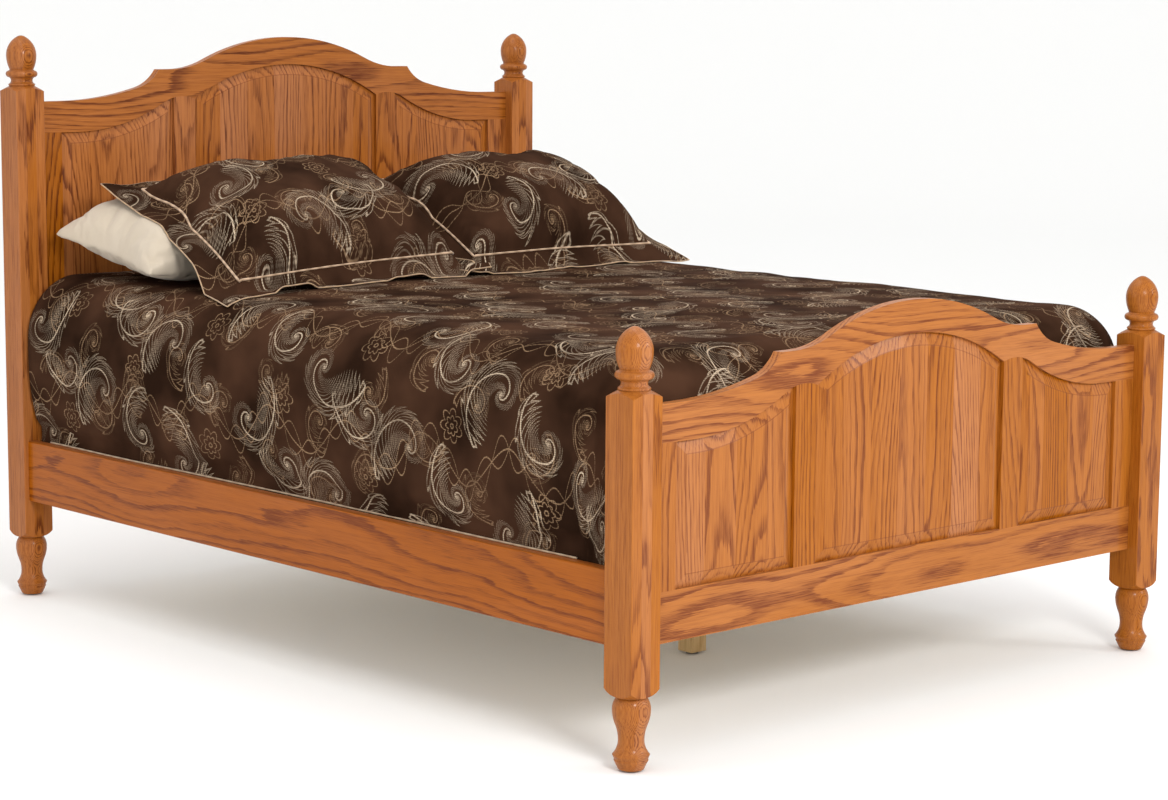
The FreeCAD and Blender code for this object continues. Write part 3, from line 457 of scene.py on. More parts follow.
def woven_plain(name, code, second, pitch, roughness, relief):
    """Plain-woven cotton: crossing threads, faint unevenness and a dull surface."""
    material, add = new_material(name)
    place = add(COORDINATES, out="Object")
    # the threads are drawn six times their real pitch, so that they show
    weft = add("ShaderNodeTexWave", {"Vector": place, "Scale": 0.05 / pitch}, out="Fac",
               bands_direction="X")
    warp = add("ShaderNodeTexWave", {"Vector": place, "Scale": 0.05 / pitch}, out="Fac",
               bands_direction="Y")
    threads = add(MATH, (weft, warp), "ADD")
    cloud = add(NOISE, {"Vector": place, "Scale": 11.0, "Detail": 3.0})
    colour = add(MIX, {"Factor": cloud, "A": linear(code), "B": linear(second)}, **RESULT)
    crease = add(NOISE, {"Vector": place, "Scale": 45.0, "Detail": 4.0})
    height = add(MATH, (threads, 0.1, crease), "MULTIPLY_ADD")
    bump = add(BUMP, {"Height": height, "Strength": relief, "Distance": 0.0012})
    return surfaced(material, add, {
        "Base Color": colour, "Normal": bump, "Roughness": roughness, "Sheen Weight": 0.15,
        "Sheen Roughness": 0.5})


def twisted_cord(name, code):
    """Rayon cord, twisted: bright threads that wind round it.

    The real twist of 3 mm is drawn coarser, so that it shows.
    """
    material, add = new_material(name)
    place = add(COORDINATES, out="Object")
    twist = add("ShaderNodeTexWave", {"Vector": place, "Scale": 16.0, "Distortion": 1.5},
                out="Fac", bands_direction="DIAGONAL")
    colour = add(MIX, {"Factor": twist, "A": linear(code), "B": linear("#A08265")}, **RESULT)
    bump = add(BUMP, {"Height": twist, "Strength": 0.4, "Distance": 0.0006})
    return surfaced(material, add, {
        "Base Color": colour, "Normal": bump, "Roughness": 0.45, "Sheen Weight": 0.2})


# ---- Metal, nylon and the floor --------------------------------------------------------


def zinc_plate():
    """Zinc-plated steel, barrel plated: soft grey with faint spangle and handling marks."""
    material, add = new_material("zinc-plated steel")
    place = add(COORDINATES, out="Object")
    spangle = add("ShaderNodeTexVoronoi", {"Vector": place, "Scale": 260.0}, out="Color")
    tone = add(SEPARATE, [spangle])
    colour = add(MIX, {"Factor": tone, "A": linear("#B4B6B4"), "B": linear("#9EA3A6")},
                 **RESULT)
    marks = add(NOISE, {"Vector": place, "Scale": 180.0, "Detail": 4.0})
    rough = add(RANGE, (marks, 0.3, 0.7, 0.3, 0.48))
    return surfaced(material, add, {
        "Base Color": colour, "Roughness": rough, "Metallic": 1.0})


def moulded_nylon():
    """Nylon, moulded: slightly waxy grey-brown with a fine spark-eroded texture.

    The grit of 0.1 mm is drawn 0.7 mm wide, so that it shows.
    """
    material, add = new_material("moulded nylon")
    place = add(COORDINATES, out="Object")
    grit = add(NOISE, {"Vector": place, "Scale": 1400.0, "Detail": 2.0})
    colour = add(MIX, {"Factor": grit, "A": linear("#6E675E"), "B": linear("#5F5850")},
                 **RESULT)
    bump = add(BUMP, {"Height": grit, "Strength": 0.3, "Distance": 0.0002})
    return surfaced(material, add, {
        "Base Color": colour, "Normal": bump, "Roughness": 0.5, "IOR": 1.53})


def painted_floor(settings):
    """Smooth matt floor paint, rolled: almost white, with a barely uneven sheen."""
    material, add = new_material("rolled matt paint")
    place = add(COORDINATES, out="Object")
    roll = add(NOISE, {"Vector": place, "Scale": 3.0, "Detail": 3.0})
    rough = add(RANGE, (roll, 0.3, 0.7, 0.75, 0.85))
    return surfaced(material, add, {
        "Roughness": rough, "Base Color": opaque(settings.floor_colour),
        "Specular IOR Level": 0.2})


# ---- Mesh helpers ----------------------------------------------------------------------


def smooth_noise(x, y, seed):
    """Smooth noise from -1 to 1 over a plane, the same on every run."""
    xi, yi = np.floor(x), np.floor(y)
    xf, yf = x - xi, y - yi

    def lattice(i, j):
        value = np.sin(i * 127.1 + j * 311.7 + seed * 74.7) * 43758.5453
        return value - np.floor(value)

    sx = xf * xf * xf * (xf * (6 * xf - 15) + 10)
    sy = yf * yf * yf * (yf * (6 * yf - 15) + 10)
    low = lattice(xi, yi) * (1 - sx) + lattice(xi + 1, yi) * sx
    high = lattice(xi, yi + 1) * (1 - sx) + lattice(xi + 1, yi + 1) * sx
    return 2 * (low * (1 - sy) + high * sy) - 1


def rolling(x, y, seed, octaves=3):
    """Several layers of smooth noise."""
    total = np.zeros_like(x)
    for i in range(octaves):
        total = total + smooth_noise(x * 2**i + 31.7 * i, y * 2**i, seed + i) / 2**i
    return total


def bump_step(low, high, value):
    """0 below low, 1 above high, and smooth between."""
    t = np.clip((value - low) / (high - low), 0, 1)
    return t * t * (3 - 2 * t)


def grid_faces(rows, columns, start=0, closed=False, flipped=False):
    """Quads over a grid stored row by row; closed joins the last column to the first."""
    faces = []
    for i in range(rows - 1):
        for j in range(columns if closed else columns - 1):
            k = (j + 1) % columns
            quad = (start + i * columns + j, start + i * columns + k,
                    start + (i + 1) * columns + k, start + (i + 1) * columns + j)
            faces.append(quad[::-1] if flipped else quad)
    return faces


def border(rows, columns, inset=(0, 0)):
    """Row and column of each point round a grid, or round it inset by some of each."""
    i, j = inset
    last_i, last_j = rows - 1 - i, columns - 1 - j
    return ([(i, k) for k in range(j, last_j)] + [(k, last_j) for k in range(i, last_i)]
            + [(last_i, k) for k in range(last_j, j, -1)] + [(k, j) for k in range(last_i, i, -1)])


def new_piece(name, points, faces, material, cloth=None, parent=None):
    """A smooth mesh object that rides on the bed and takes its finish from a slot."""
    mesh = bpy.data.meshes.new(name)
    mesh.from_pydata([tuple(p) for p in points], [], faces)
    mesh.update()
    mesh.shade_smooth()
    piece = bpy.data.objects.new(name, mesh)
    bpy.context.scene.collection.objects.link(piece)
    mesh.materials.append(material)
    if cloth is not None:
        layer = mesh.uv_layers.new(name="cloth")
        corner = np.zeros(len(mesh.loops), np.int32)
        mesh.loops.foreach_get("vertex_index", corner)
        layer.data.foreach_set("uv", np.asarray(cloth, np.float32)[corner].ravel())
    if parent is None:
        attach(piece, "root")
    else:
        piece.parent = parent
    return piece


def shell(name, top, bottom, cloth, material):
    """A closed piece of two like grids of points, joined round their edges."""
    rows, columns = top.shape[:2]
    count = rows * columns
    points = np.concatenate((top.reshape(-1, 3), bottom.reshape(-1, 3)))
    faces = grid_faces(rows, columns, 0) + grid_faces(rows, columns, count, flipped=True)
    loop = [i * columns + j for i, j in border(rows, columns)]
    for p, q in zip(loop, loop[1:] + loop[:1]):
        faces.append((q, p, p + count, q + count))
    flat = cloth.reshape(-1, 2)
    return new_piece(name, points, faces, material, np.concatenate((flat, flat)))


def tube(name, path, radius, material, parent, closed=False):
    """A round cord along a path, such as piping."""
    sides = 8
    ahead = np.roll(path, -1, 0) - np.roll(path, 1, 0)
    if not closed:
        ahead[0] = path[1] - path[0]
        ahead[-1] = path[-1] - path[-2]
    ahead /= np.linalg.norm(ahead, axis=1)[:, None]
    side = np.cross(ahead, (0, 0, 1.0))
    side /= np.linalg.norm(side, axis=1)[:, None] + 1e-9
    up = np.cross(side, ahead)
    points = []
    for p, s, u in zip(path, side, up):
        for k in range(sides):
            a = 2 * math.pi * k / sides
            points.append(p + radius * (math.cos(a) * s + math.sin(a) * u))
    rows = len(path)
    faces = grid_faces(rows, sides, closed=True)
    if closed:
        last = (rows - 1) * sides
        for j in range(sides):
            k = (j + 1) % sides
            faces.append((last + j, last + k, k, j))
    else:
        faces.append(tuple(range(sides))[::-1])
        faces.append(tuple((rows - 1) * sides + k for k in range(sides)))
    return new_piece(name, points, faces, material, parent=parent)


def surface_normals(grid):
    """Unit normals of a grid of points, rows by columns by 3."""
    du = np.gradient(grid, axis=0)
    dv = np.gradient(grid, axis=1)
    normal = np.cross(du, dv)
    return normal / (np.linalg.norm(normal, axis=2)[:, :, None] + 1e-12)


def resting_heights(pieces, points):
    """Height of what lies under each point, seen from above."""
    shown = bpy.context.evaluated_depsgraph_get()
    trees = [BVHTree.FromObject(piece, shown) for piece in pieces]
    down = Vector((0, 0, -1))
    heights = np.full(len(points), -1.0)
    for i, p in enumerate(points):
        for tree in trees:
            hit = tree.ray_cast(Vector((p[0], p[1], 2.0)), down)[0]
            if hit is not None:
                heights[i] = max(heights[i], hit.z)
    return heights


def let_swell(piece, edge, frames, slack):
    """Lets a pillow's cloth swell and crease between its seams, and keeps the result.

    Edge holds each point's distance from the seam, near which the cloth is held.
    """
    held_width, pressure, cap = 0.006, 3.0, 0.014
    hold = np.exp(-edge.ravel() / held_width)
    hold[hold < 0.05] = 0
    group = piece.vertex_groups.new(name="seam")
    for index, weight in enumerate(np.concatenate((hold, hold))):
        if weight > 0:
            group.add([index], float(weight), "REPLACE")
    before = np.array([v.co for v in piece.data.vertices])
    cloth = piece.modifiers.new("cloth", "CLOTH")
    for setting, value in {
        "quality": 5,
        "mass": 0.2,
        "tension_stiffness": 12,
        "compression_stiffness": 12,
        "shear_stiffness": 4,
        "bending_stiffness": 0.25,
        "use_pressure": True,
        "uniform_pressure_force": pressure,
        "shrink_min": -slack,
        "vertex_group_mass": "seam",
    }.items():
        setattr(cloth.settings, setting, value)
    cloth.settings.effector_weights.gravity = 0
    cloth.collision_settings.use_collision = False
    scene = bpy.context.scene
    for step in range(1, frames + 1):
        scene.frame_set(step)
    shaped = piece.evaluated_get(bpy.context.evaluated_depsgraph_get())
    after = np.array([v.co for v in shaped.data.vertices])
    piece.modifiers.remove(cloth)
    scene.frame_set(1)
    move = after - before
    length = np.linalg.norm(move, axis=1)[:, None]
    move *= np.minimum(1, cap / (length + 1e-9))
    piece.data.vertices.foreach_set("co", (before + move).astype(np.float32).ravel())
    piece.data.update()
    piece.vertex_groups.remove(group)


# ---- Settings --------------------------------------------------------------------------


class OakSettings(bpy.types.PropertyGroup):
    """Stain and figure of the oak."""

    foot_light: FloatVectorProperty(
        name="Footboard light", description="Late wood of the footboard, after staining",
        subtype="COLOR", default=linear("#AA6629")[:3], min=0, max=1)
    foot_dark: FloatVectorProperty(
        name="Footboard dark", description="Early wood of the footboard, after staining",
        subtype="COLOR", default=linear("#70350F")[:3], min=0, max=1)
    head_light: FloatVectorProperty(
        name="Headboard light", description="Late wood of the headboard, after staining",
        subtype="COLOR", default=linear("#A8642C")[:3], min=0, max=1)
    head_dark: FloatVectorProperty(
        name="Headboard dark", description="Early wood of the headboard, after staining",
        subtype="COLOR", default=linear("#602A08")[:3], min=0, max=1)
    rail_light: FloatVectorProperty(
        name="Side rail light", description="Late wood of the side rails, after staining",
        subtype="COLOR", default=linear("#A05718")[:3], min=0, max=1)
    rail_dark: FloatVectorProperty(
        name="Side rail dark", description="Early wood of the side rails, after staining",
        subtype="COLOR", default=linear("#6E330A")[:3], min=0, max=1)
    ring_width: FloatProperty(
        name="Ring width", description="Distance between growth rings",
        subtype="DISTANCE", unit="LENGTH", default=0.0031, min=0.001, max=0.01)
    panel_stave: FloatProperty(
        name="Panel stave", description="Width of the strips that a panel is glued up from",
        subtype="DISTANCE", unit="LENGTH", default=0.086, min=0.03, max=0.3)
    post_stave: FloatProperty(
        name="Post stave", description="Thickness of the strips that a post is glued up from",
        subtype="DISTANCE", unit="LENGTH", default=0.0255, min=0.01, max=0.1)


class BeddingSettings(bpy.types.PropertyGroup):
    """Woven cover cloth and how it lies."""

    ground_dark: FloatVectorProperty(
        name="Ground, dark", description="Dark of the satin ground",
        subtype="COLOR", default=linear("#25170F")[:3], min=0, max=1)
    # the lighter ground colour: partly the satin's uneven tone, partly its sheen painted in
    ground_tone_and_sheen: FloatVectorProperty(
        name="Ground, light", description="Light of the satin ground",
        subtype="COLOR", default=linear("#452E21")[:3], min=0, max=1)
    thread: FloatVectorProperty(
        name="Scroll thread", description="Dull gold of the scroll floats",
        subtype="COLOR", default=linear("#CBB69C")[:3], min=0, max=1)
    thread_dull: FloatVectorProperty(
        name="Second thread", description="Colour of the thread of the small scrolls and vines",
        subtype="COLOR", default=linear("#94785C")[:3], min=0, max=1)
    scroll_repeat: FloatProperty(
        name="Scroll repeat", description="Distance after which the scrolls repeat",
        subtype="DISTANCE", unit="LENGTH", default=0.28, min=0.05, max=1)
    thread_line: FloatProperty(
        name="Thread line", description="Half the width of a scroll line",
        subtype="DISTANCE", unit="LENGTH", default=0.0016, min=0.0003, max=0.01)
    float_pitch: FloatProperty(
        name="Float pitch", description="Distance between the woven dots of a line",
        subtype="DISTANCE", unit="LENGTH", default=0.0045, min=0.001, max=0.02)
    comforter_step: FloatProperty(
        name="Comforter step", description="Distance between the comforter's vertices",
        subtype="DISTANCE", unit="LENGTH", default=0.012, min=0.004, max=0.05)
    swell_frames: IntProperty(
        name="Swell frames", description="Simulation frames that each pillow gets",
        default=16, min=1, max=60)


class StudioSettings(bpy.types.PropertyGroup):
    """Camera and light of the studio."""

    camera_place: FloatVectorProperty(
        name="Camera", description="Where the camera stands",
        subtype="TRANSLATION", unit="LENGTH", default=(-4.3702, -4.8540, 1.4432))
    camera_yaw: FloatProperty(
        name="Yaw", description="Turn of the view from the bed's length",
        subtype="ANGLE", unit="ROTATION", default=0.74115)
    camera_pitch: FloatProperty(
        name="Pitch", description="Tilt of the view below level",
        subtype="ANGLE", unit="ROTATION", default=0.13978)
    camera_roll: FloatProperty(
        name="Roll", description="Turn of the picture round its middle",
        subtype="ANGLE", unit="ROTATION", default=0.00665)
    lens: FloatProperty(
        name="Lens", description="Focal length on a sensor 36 mm wide",
        subtype="DISTANCE_CAMERA", unit="CAMERA", default=87.26, min=10, max=300)
    floor_colour: FloatVectorProperty(
        name="Floor", description="Colour of the floor",
        subtype="COLOR", default=linear("#FAFAF9")[:3], min=0, max=1)
    key_power: FloatProperty(
        name="Key light", description="Power of the large light at the front left",
        subtype="POWER", unit="POWER", default=180.0, min=0)
    fill_power: FloatProperty(
        name="Fill light", description="Power of the light at the front right",
        subtype="POWER", unit="POWER", default=50.0, min=0)
    sky: FloatProperty(
        name="Surround", description="Brightness of the white surround",
        default=1.0, min=0, max=5)


# ---- Wooden parts ----------------------------------------------------------------------


def dress(names, material):
    """Gives the nodes one material on every face."""
    for name in names:
        mesh = NODES[name].data
        mesh.materials.clear()
        mesh.materials.append(material)
        for face in mesh.polygons:
            face.material_index = 0


class BED_OT_oak(bpy.types.Operator):
    """Gives each oak member its own board of lacquered oak"""

    bl_idname = "bed.oak"
    bl_label = "Oak frame"

    def execute(self, context):
        look = context.scene.bed_oak
        figure = ring_figure()
        ring = look.ring_width
        # each row: axes, then the stave width and the values after it in BOARD_VALUES
        crest = "XZY", 1.0, 0.5, 1.1 * ring, 0.006, 0.015, 0.03
        bottom = "XZY", 1.0, 0.5, 1.1 * ring, 0.01, 0.01, 0.03
        upright = "ZXY", 1.0, 3.0, 0.8 * ring, 0.02, 0.06, 0.03
        panel = "ZXY", look.panel_stave, 2.6, 0.85 * ring, 0.022, 0.02, 0.022
        post = "ZXY", look.post_stave, 3.0, 0.65 * ring, 0.01, 0.04, 0.014
        rail = "YZX", 1.0, 1.3, 0.9 * ring, 0.005, 0.02, 0.022
        boards = (
            ("board_crest_rail", crest), ("board_bottom_rail", bottom),
            ("board_mullion_left", upright), ("board_mullion_right", upright),
            ("board_stile_left", upright), ("board_stile_right", upright),
            ("board_panel_left", panel), ("board_panel_centre", panel),
            ("board_panel_right", panel), ("_post_left", post), ("_post_right", post),
        )
        foot = opaque(look.foot_light), opaque(look.foot_dark)
        head = opaque(look.head_light), opaque(look.head_dark)
        side = opaque(look.rail_light), opaque(look.rail_dark)
        members = [("foot" + part, row, foot) for part, row in boards]
        members += [("head" + part, row, head) for part, row in boards]
        members += [("side_rail_left", rail, side), ("side_rail_right", rail, side)]
        seed = 1.0
        for node, row, colours in members:
            seed += 1.0
            into = 0.35 if "board" in node else 1.0
            dress([node], wood(node, "lacquered oak", figure, row[0], colours, seed, row[1:],
                               into))
        # softwood, planed and left bare: pale, with a dull surface
        pine = linear("#DDBE8C"), linear("#B98D55")
        shape = 1.0, 1.5, 0.003, 0.02, 0.08, 0.05
        for axes, names in (
            ("XYZ", ["slat_%d" % i for i in range(1, 6)]),
            ("ZXY", ["centre_leg_%d" % i for i in range(1, 4)]),
            ("YZX", ["slat_cleat_left", "slat_cleat_right"]),
        ):
            for node in names:
                seed += 1.0
                dress([node], wood(node, "planed softwood", figure, axes, pine, seed, shape,
                                   roughness=0.62, coat=0.0))
        return {"FINISHED"}


class BED_OT_hardware(bpy.types.Operator):
    """Gives the hooks, plates, screws and glides their metal and nylon"""

    bl_idname = "bed.hardware"
    bl_label = "Hardware"

    def execute(self, context):
        dress([name for name in NODES if "plate" in name or "screws" in name], zinc_plate())
        dress(["post_glides", "centre_leg_glides"], moulded_nylon())
        return {"FINISHED"}


# ---- Mattress and foundation -------------------------------------------------------------


def cushion_box(name, node, material, edge, inset_by, quilt=0.0, tuft=0.0):
    """A quilted block with rounded edges and taped seams, in the space of a CAD node."""
    low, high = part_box(node)
    middle = (low + high) / 2
    half = (high - low) / 2 - Vector((inset_by, inset_by, 0))
    high.z -= inset_by
    around, edge_steps, sunk, bulge, tape_radius = 360, 8, 0.002, 0.006, 0.0032
    turn = 2 * math.pi * np.arange(around) / around
    outline = np.column_stack((np.cos(turn), np.sin(turn)))
    outline *= (np.abs(outline) ** 9).sum(axis=1)[:, None] ** (-1 / 9)

    def ring(inset, z):
        """The outline drawn in by an inset, at a height."""
        scale = np.array((half.x - inset, half.y - inset))
        flat = outline * scale + np.array((middle.x, middle.y))
        return np.column_stack((flat, np.full(around, z)))

    def rounded(steps, z, way):
        """Rings round an edge, from its flat face to its side for rising steps."""
        turns = [math.pi / 2 * i / edge_steps for i in steps]
        return [ring(edge * (1 - math.sin(a)) * 0.98, z + way * edge * (1 - math.cos(a)))
                for a in turns]

    rings = []
    for share in np.linspace(0.02, 0.985, 60):
        inset = (1 - share) * half.x
        row = ring(inset, high.z - sunk)
        if quilt:
            lattice = np.abs(np.sin(math.pi * (row[:, 0] + row[:, 1]) / quilt)
                             * np.sin(math.pi * (row[:, 0] - row[:, 1]) / quilt))
            row[:, 2] -= tuft * (1 - lattice**0.4) * bump_step(0, 0.12, 1 - share + 0.02)
        rings.append(row)
    rings += rounded(range(1, edge_steps + 1), high.z, -1)
    for z in np.linspace(high.z - edge, low.z + edge, 14)[1:-1]:
        puff = bulge * math.sin(math.pi * (z - low.z) / (high.z - low.z))
        rings.append(ring(bulge - puff, z))
    rings += rounded(range(edge_steps, 0, -1), low.z, 1)
    for share in np.linspace(0.985, 0.02, 12):
        rings.append(ring((1 - share) * half.x, low.z))
    points = np.vstack(rings)
    faces = grid_faces(len(rings), around, closed=True, flipped=True)
    faces.append(tuple(range(around)))
    faces.append(tuple(len(points) - around + k for k in range(around))[::-1])
    piece = new_piece(name, points, faces, material)
    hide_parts(node)
    tape = woven_plain("woven tape", "#D9D2C6", "#C9C1B3", pitch=0.0008, roughness=0.7,
                       relief=0.4)
    for label, z in (("top", high.z - edge * 0.75), ("bottom", low.z + edge * 0.75)):
        tube(name + "_tape_" + label, ring(0.004, z), tape_radius, tape, piece,
             closed=True)


class BED_OT_mattress(bpy.types.Operator):
    """Makes the quilted mattress and the foundation under it"""

    bl_idname = "bed.mattress"
    bl_label = "Mattress and foundation"

    def execute(self, context):
        ticking = woven_plain("woven cotton ticking", "#E9E5DC", "#DCD6CA", pitch=0.001,
                              roughness=0.8, relief=0.5)
        cushion_box("quilted_mattress", "mattress", ticking, edge=0.075, inset_by=0.012,
                    quilt=0.11, tuft=0.007)
        cushion_box("covered_foundation", "foundation", ticking, edge=0.012, inset_by=0.001)
        return {"FINISHED"}


# ---- Comforter ---------------------------------------------------------------------------


def quarter_round(radius, top):
    """Points of a quarter round that starts level at a height and ends upright."""
    turns = [math.pi / 2 * s for s in np.linspace(0, 1, 25)]
    return [(radius * math.sin(a), top - radius * (1 - math.cos(a))) for a in turns]


def lengths_along(path):
    """Length of a path up to each of its points."""
    return np.concatenate(([0], np.cumsum(np.linalg.norm(np.diff(path, axis=0), axis=1))))


class BED_OT_comforter(bpy.types.Operator):
    """Lays the comforter over the mattress, tucked inside the rails and the footboard"""

    bl_idname = "bed.comforter"
    bl_label = "Comforter"

    def execute(self, context):
        look = context.scene.bed_bedding
        low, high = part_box("comforter")
        rail_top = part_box("side_rail_left")[1].z
        inner = -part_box("side_rail_left")[1].x
        wide, top = high.x - 0.002, high.z
        head, foot = high.y - 0.004, low.y
        shoulder, toe, crown, thick = 0.145, 0.13, 0.005, 0.012
        rail_gap, post_gap, lean = 0.001, 0.003, 0.003
        flat_x, flat_y = wide - shoulder, foot + toe
        waist = top - crown - shoulder
        swell_end = rail_top + 0.039

        # profile of a side: shoulder, full side and tucked hem; then that of the foot end
        side = quarter_round(shoulder, top - crown)
        for t in np.linspace(0, 1, 25)[1:]:
            a = math.pi / 2 * t
            side.append((shoulder - (wide - inner - 0.002) * (1 - math.cos(a)),
                         waist - (waist - swell_end) * math.sin(a)))
        for t in np.linspace(0, 1, 9)[1:]:
            side.append((inner - rail_gap - flat_x - lean * t,
                         swell_end - (swell_end - low.z) * t))
        side = np.array(side)
        end = np.array(quarter_round(toe, top - crown) + [(toe, low.z)])
        length, end_length = lengths_along(side), lengths_along(end)
        drop, end_drop = length[-1], end_length[-1]

        step = look.comforter_step
        across = np.arange(-(flat_x + drop), flat_x + drop + step / 2,
                           2 * (flat_x + drop) / round(2 * (flat_x + drop) / step))
        down = np.linspace(head, flat_y - end_drop, round((head - flat_y + end_drop) / step))
        u, v = np.meshgrid(across, down)
        over_x = np.maximum(np.abs(u) - flat_x, 0) / drop
        over_y = np.maximum(flat_y - v, 0) / end_drop
        out = (over_x**4 + over_y**4) ** 0.25
        turn = np.arctan2(over_y, over_x + 1e-9)
        share = bump_step(0, math.pi / 2, turn)
        reach = ((1 - share) * np.interp(out * drop, length, side[:, 0])
                 + share * np.interp(out * end_drop, end_length, end[:, 0]))
        height = ((1 - share) * np.interp(out * drop, length, side[:, 1])
                  + share * np.interp(out * end_drop, end_length, end[:, 1]))
        height += crown * np.cos(np.clip(np.abs(u) / flat_x, 0, 1) * math.pi / 2) * (out == 0)
        x = np.sign(u) * (np.minimum(np.abs(u), flat_x) + reach * np.cos(turn))
        y = np.maximum(v, flat_y) - reach * np.sin(turn) * (over_y > 0)
        # keep clear of the foot posts
        post_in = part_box("foot_post_right")[0].x
        post_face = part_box("foot_post_right")[1].y
        beside = bump_step(post_in - 0.03, post_in - 0.004, np.abs(x))
        y = np.maximum(y, foot + beside * (post_face + post_gap - foot))

        points = np.stack((x, y, height), axis=2)
        normal = surface_normals(points)
        if normal[len(down) // 3, len(across) // 2, 2] < 0:
            normal = -normal
        falling = bump_step(0.08, 0.3, out)
        soft = 0.004 * rolling(u * 3.5, v * 2.6, 3)
        ripple = 0.0012 * rolling(u * 9, v * 12, 11, 2)
        puckers = 0.0035 * rolling(u * 5, v * 9, 29, 2) * falling
        near_hem = bump_step(0.62, 0.8, over_x) * (1 - bump_step(0.86, 0.93, over_x))
        gathers = 0.005 * near_hem * rolling(v * 9, u * 1.5, 41, 2)
        lift = (soft + ripple) * (1 - 0.75 * falling) + puckers + gathers - 0.004
        lift *= 1 - bump_step(0.9, 0.97, np.maximum(over_x, over_y))
        points = points + normal * lift[:, :, None]
        points[:, :, 2] = np.minimum(points[:, :, 2], high.z + 0.006)
        under = points - normal * thick

        jacquard = bpy.data.materials.get("woven satin jacquard") or woven_jacquard(look)
        piece = shell("comforter_quilted", points, under, np.stack((v, u), axis=2), jacquard)
        mesh = bmesh.new()
        mesh.from_mesh(piece.data)
        bmesh.ops.recalc_face_normals(mesh, faces=mesh.faces)
        mesh.to_mesh(piece.data)
        mesh.free()
        edging = twisted_cord("overlocked edge", "#B59E80")
        run = np.linspace(foot + 0.14, head - 0.05, 260)
        for side, sign in (("left", -1), ("right", 1)):
            sway = smooth_noise(run * 3.1, run * 0, 70 + sign)
            path = np.column_stack((sign * (inner - rail_gap + 0.006 * sway), run,
                                    np.full_like(run, rail_top + 0.0022)))
            tube("comforter_edging_" + side, path, 0.0022, edging, piece)
        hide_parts("comforter")
        return {"FINISHED"}


# ---- Pillows and shams ---------------------------------------------------------------------


def spread(count):
    """Places from 0 to 1 that stand a little closer at both ends."""
    even = np.linspace(0, 1, count)
    return 0.35 * (0.5 - 0.5 * np.cos(math.pi * even)) + 0.65 * even


def pillow_form(corners, flange, crown, belly, draw, grid, seed, creases):
    """Top and bottom grids of a pillow between four corners, and its cloth coordinates.

    Corners run front left, front right, back left, back right. The body swells inside the
    flange, and the sides pull in between the corners.
    """
    fl, fr, bl, br = [np.array(c) for c in corners]
    columns, rows = grid
    width = np.linalg.norm(fr - fl)
    depth = np.linalg.norm(bl - fl)
    a, b = np.meshgrid(spread(columns), spread(rows))
    plane = ((1 - a) * (1 - b))[:, :, None] * fl + (a * (1 - b))[:, :, None] * fr
    plane = plane + ((1 - a) * b)[:, :, None] * bl + (a * b)[:, :, None] * br
    side = (fr - fl) / width
    back = (bl - fl) / depth
    normal = np.cross(side, back)
    normal /= np.linalg.norm(normal)
    plane = plane + side * (draw[0] * np.sin(math.pi * b) ** 1.3 * (1 - 2 * a))[:, :, None]
    plane = plane + back * (draw[1] * np.sin(math.pi * a) ** 1.3 * (1 - 2 * b))[:, :, None]

    fa, fb = flange / width, flange / depth
    ia = np.clip((a - fa) / (1 - 2 * fa), 0, 1)
    ib = np.clip((b - fb) / (1 - 2 * fb), 0, 1)
    # the body keeps its fullness over most of its width, and rounds off at the sides
    fullness = (1 - np.abs(2 * ia - 1) ** 3.4) * (1 - np.abs(2 * ib - 1) ** 2.6)
    fullness = np.maximum(fullness, 0) ** 0.5
    edge = np.minimum(np.minimum(ia, 1 - ia) * (width - 2 * flange),
                      np.minimum(ib, 1 - ib) * (depth - 2 * flange))
    # creases run in from the seam and fade out
    along = np.where(np.minimum(ia, 1 - ia) * width < np.minimum(ib, 1 - ib) * depth,
                     b * depth, a * width)
    fold = smooth_noise(along * 26, edge * 3, seed) * np.exp(-edge / 0.09)
    fold *= bump_step(0.0, 0.02, edge)
    broad = rolling(a * width * 5, b * depth * 5, seed + 5, 2)
    lift = crown * fullness + (creases * fold + 0.5 * creases * broad) * fullness**0.6
    half = 0.0022 + 0.0015 * (edge > 0)
    top = plane + normal * (lift + half)[:, :, None]
    bottom = plane - normal * (belly * fullness + half)[:, :, None]
    cloth = np.stack((a * width, b * depth), axis=2)
    outside = np.maximum.reduce([fa - a, a - 1 + fa, (fb - b) * depth / width,
                                 (b - 1 + fb) * depth / width]) * width
    return top, bottom, cloth, edge, np.maximum(outside, 0)


def settle(piece, supports, gap, rows, columns, fall=0.0):
    """Rests a piece on its supports, keeping its own thickness.

    Each point may fall by as much as fall says, and whatever would sink in is lifted.
    """
    count = rows * columns
    points = np.array([v.co for v in piece.data.vertices])
    ground = resting_heights(supports, points[count:])
    room = np.maximum(points[count:, 2] - ground - gap, 0)
    drop = np.minimum(np.ravel(fall), np.where(ground > 0, room, 0))
    points[:count, 2] -= drop
    points[count:, 2] -= drop
    low = np.maximum(points[count:, 2], ground + gap)
    points[count:, 2] = low
    points[:count, 2] = np.maximum(points[:count, 2], low + 0.004)
    piece.data.vertices.foreach_set("co", points.astype(np.float32).ravel())
    piece.data.update()


def finish_pillow(piece):
    """Rounds the facets of a pillow's mesh."""
    sub = piece.modifiers.new("smooth", "SUBSURF")
    sub.levels = 1
    sub.render_levels = 1


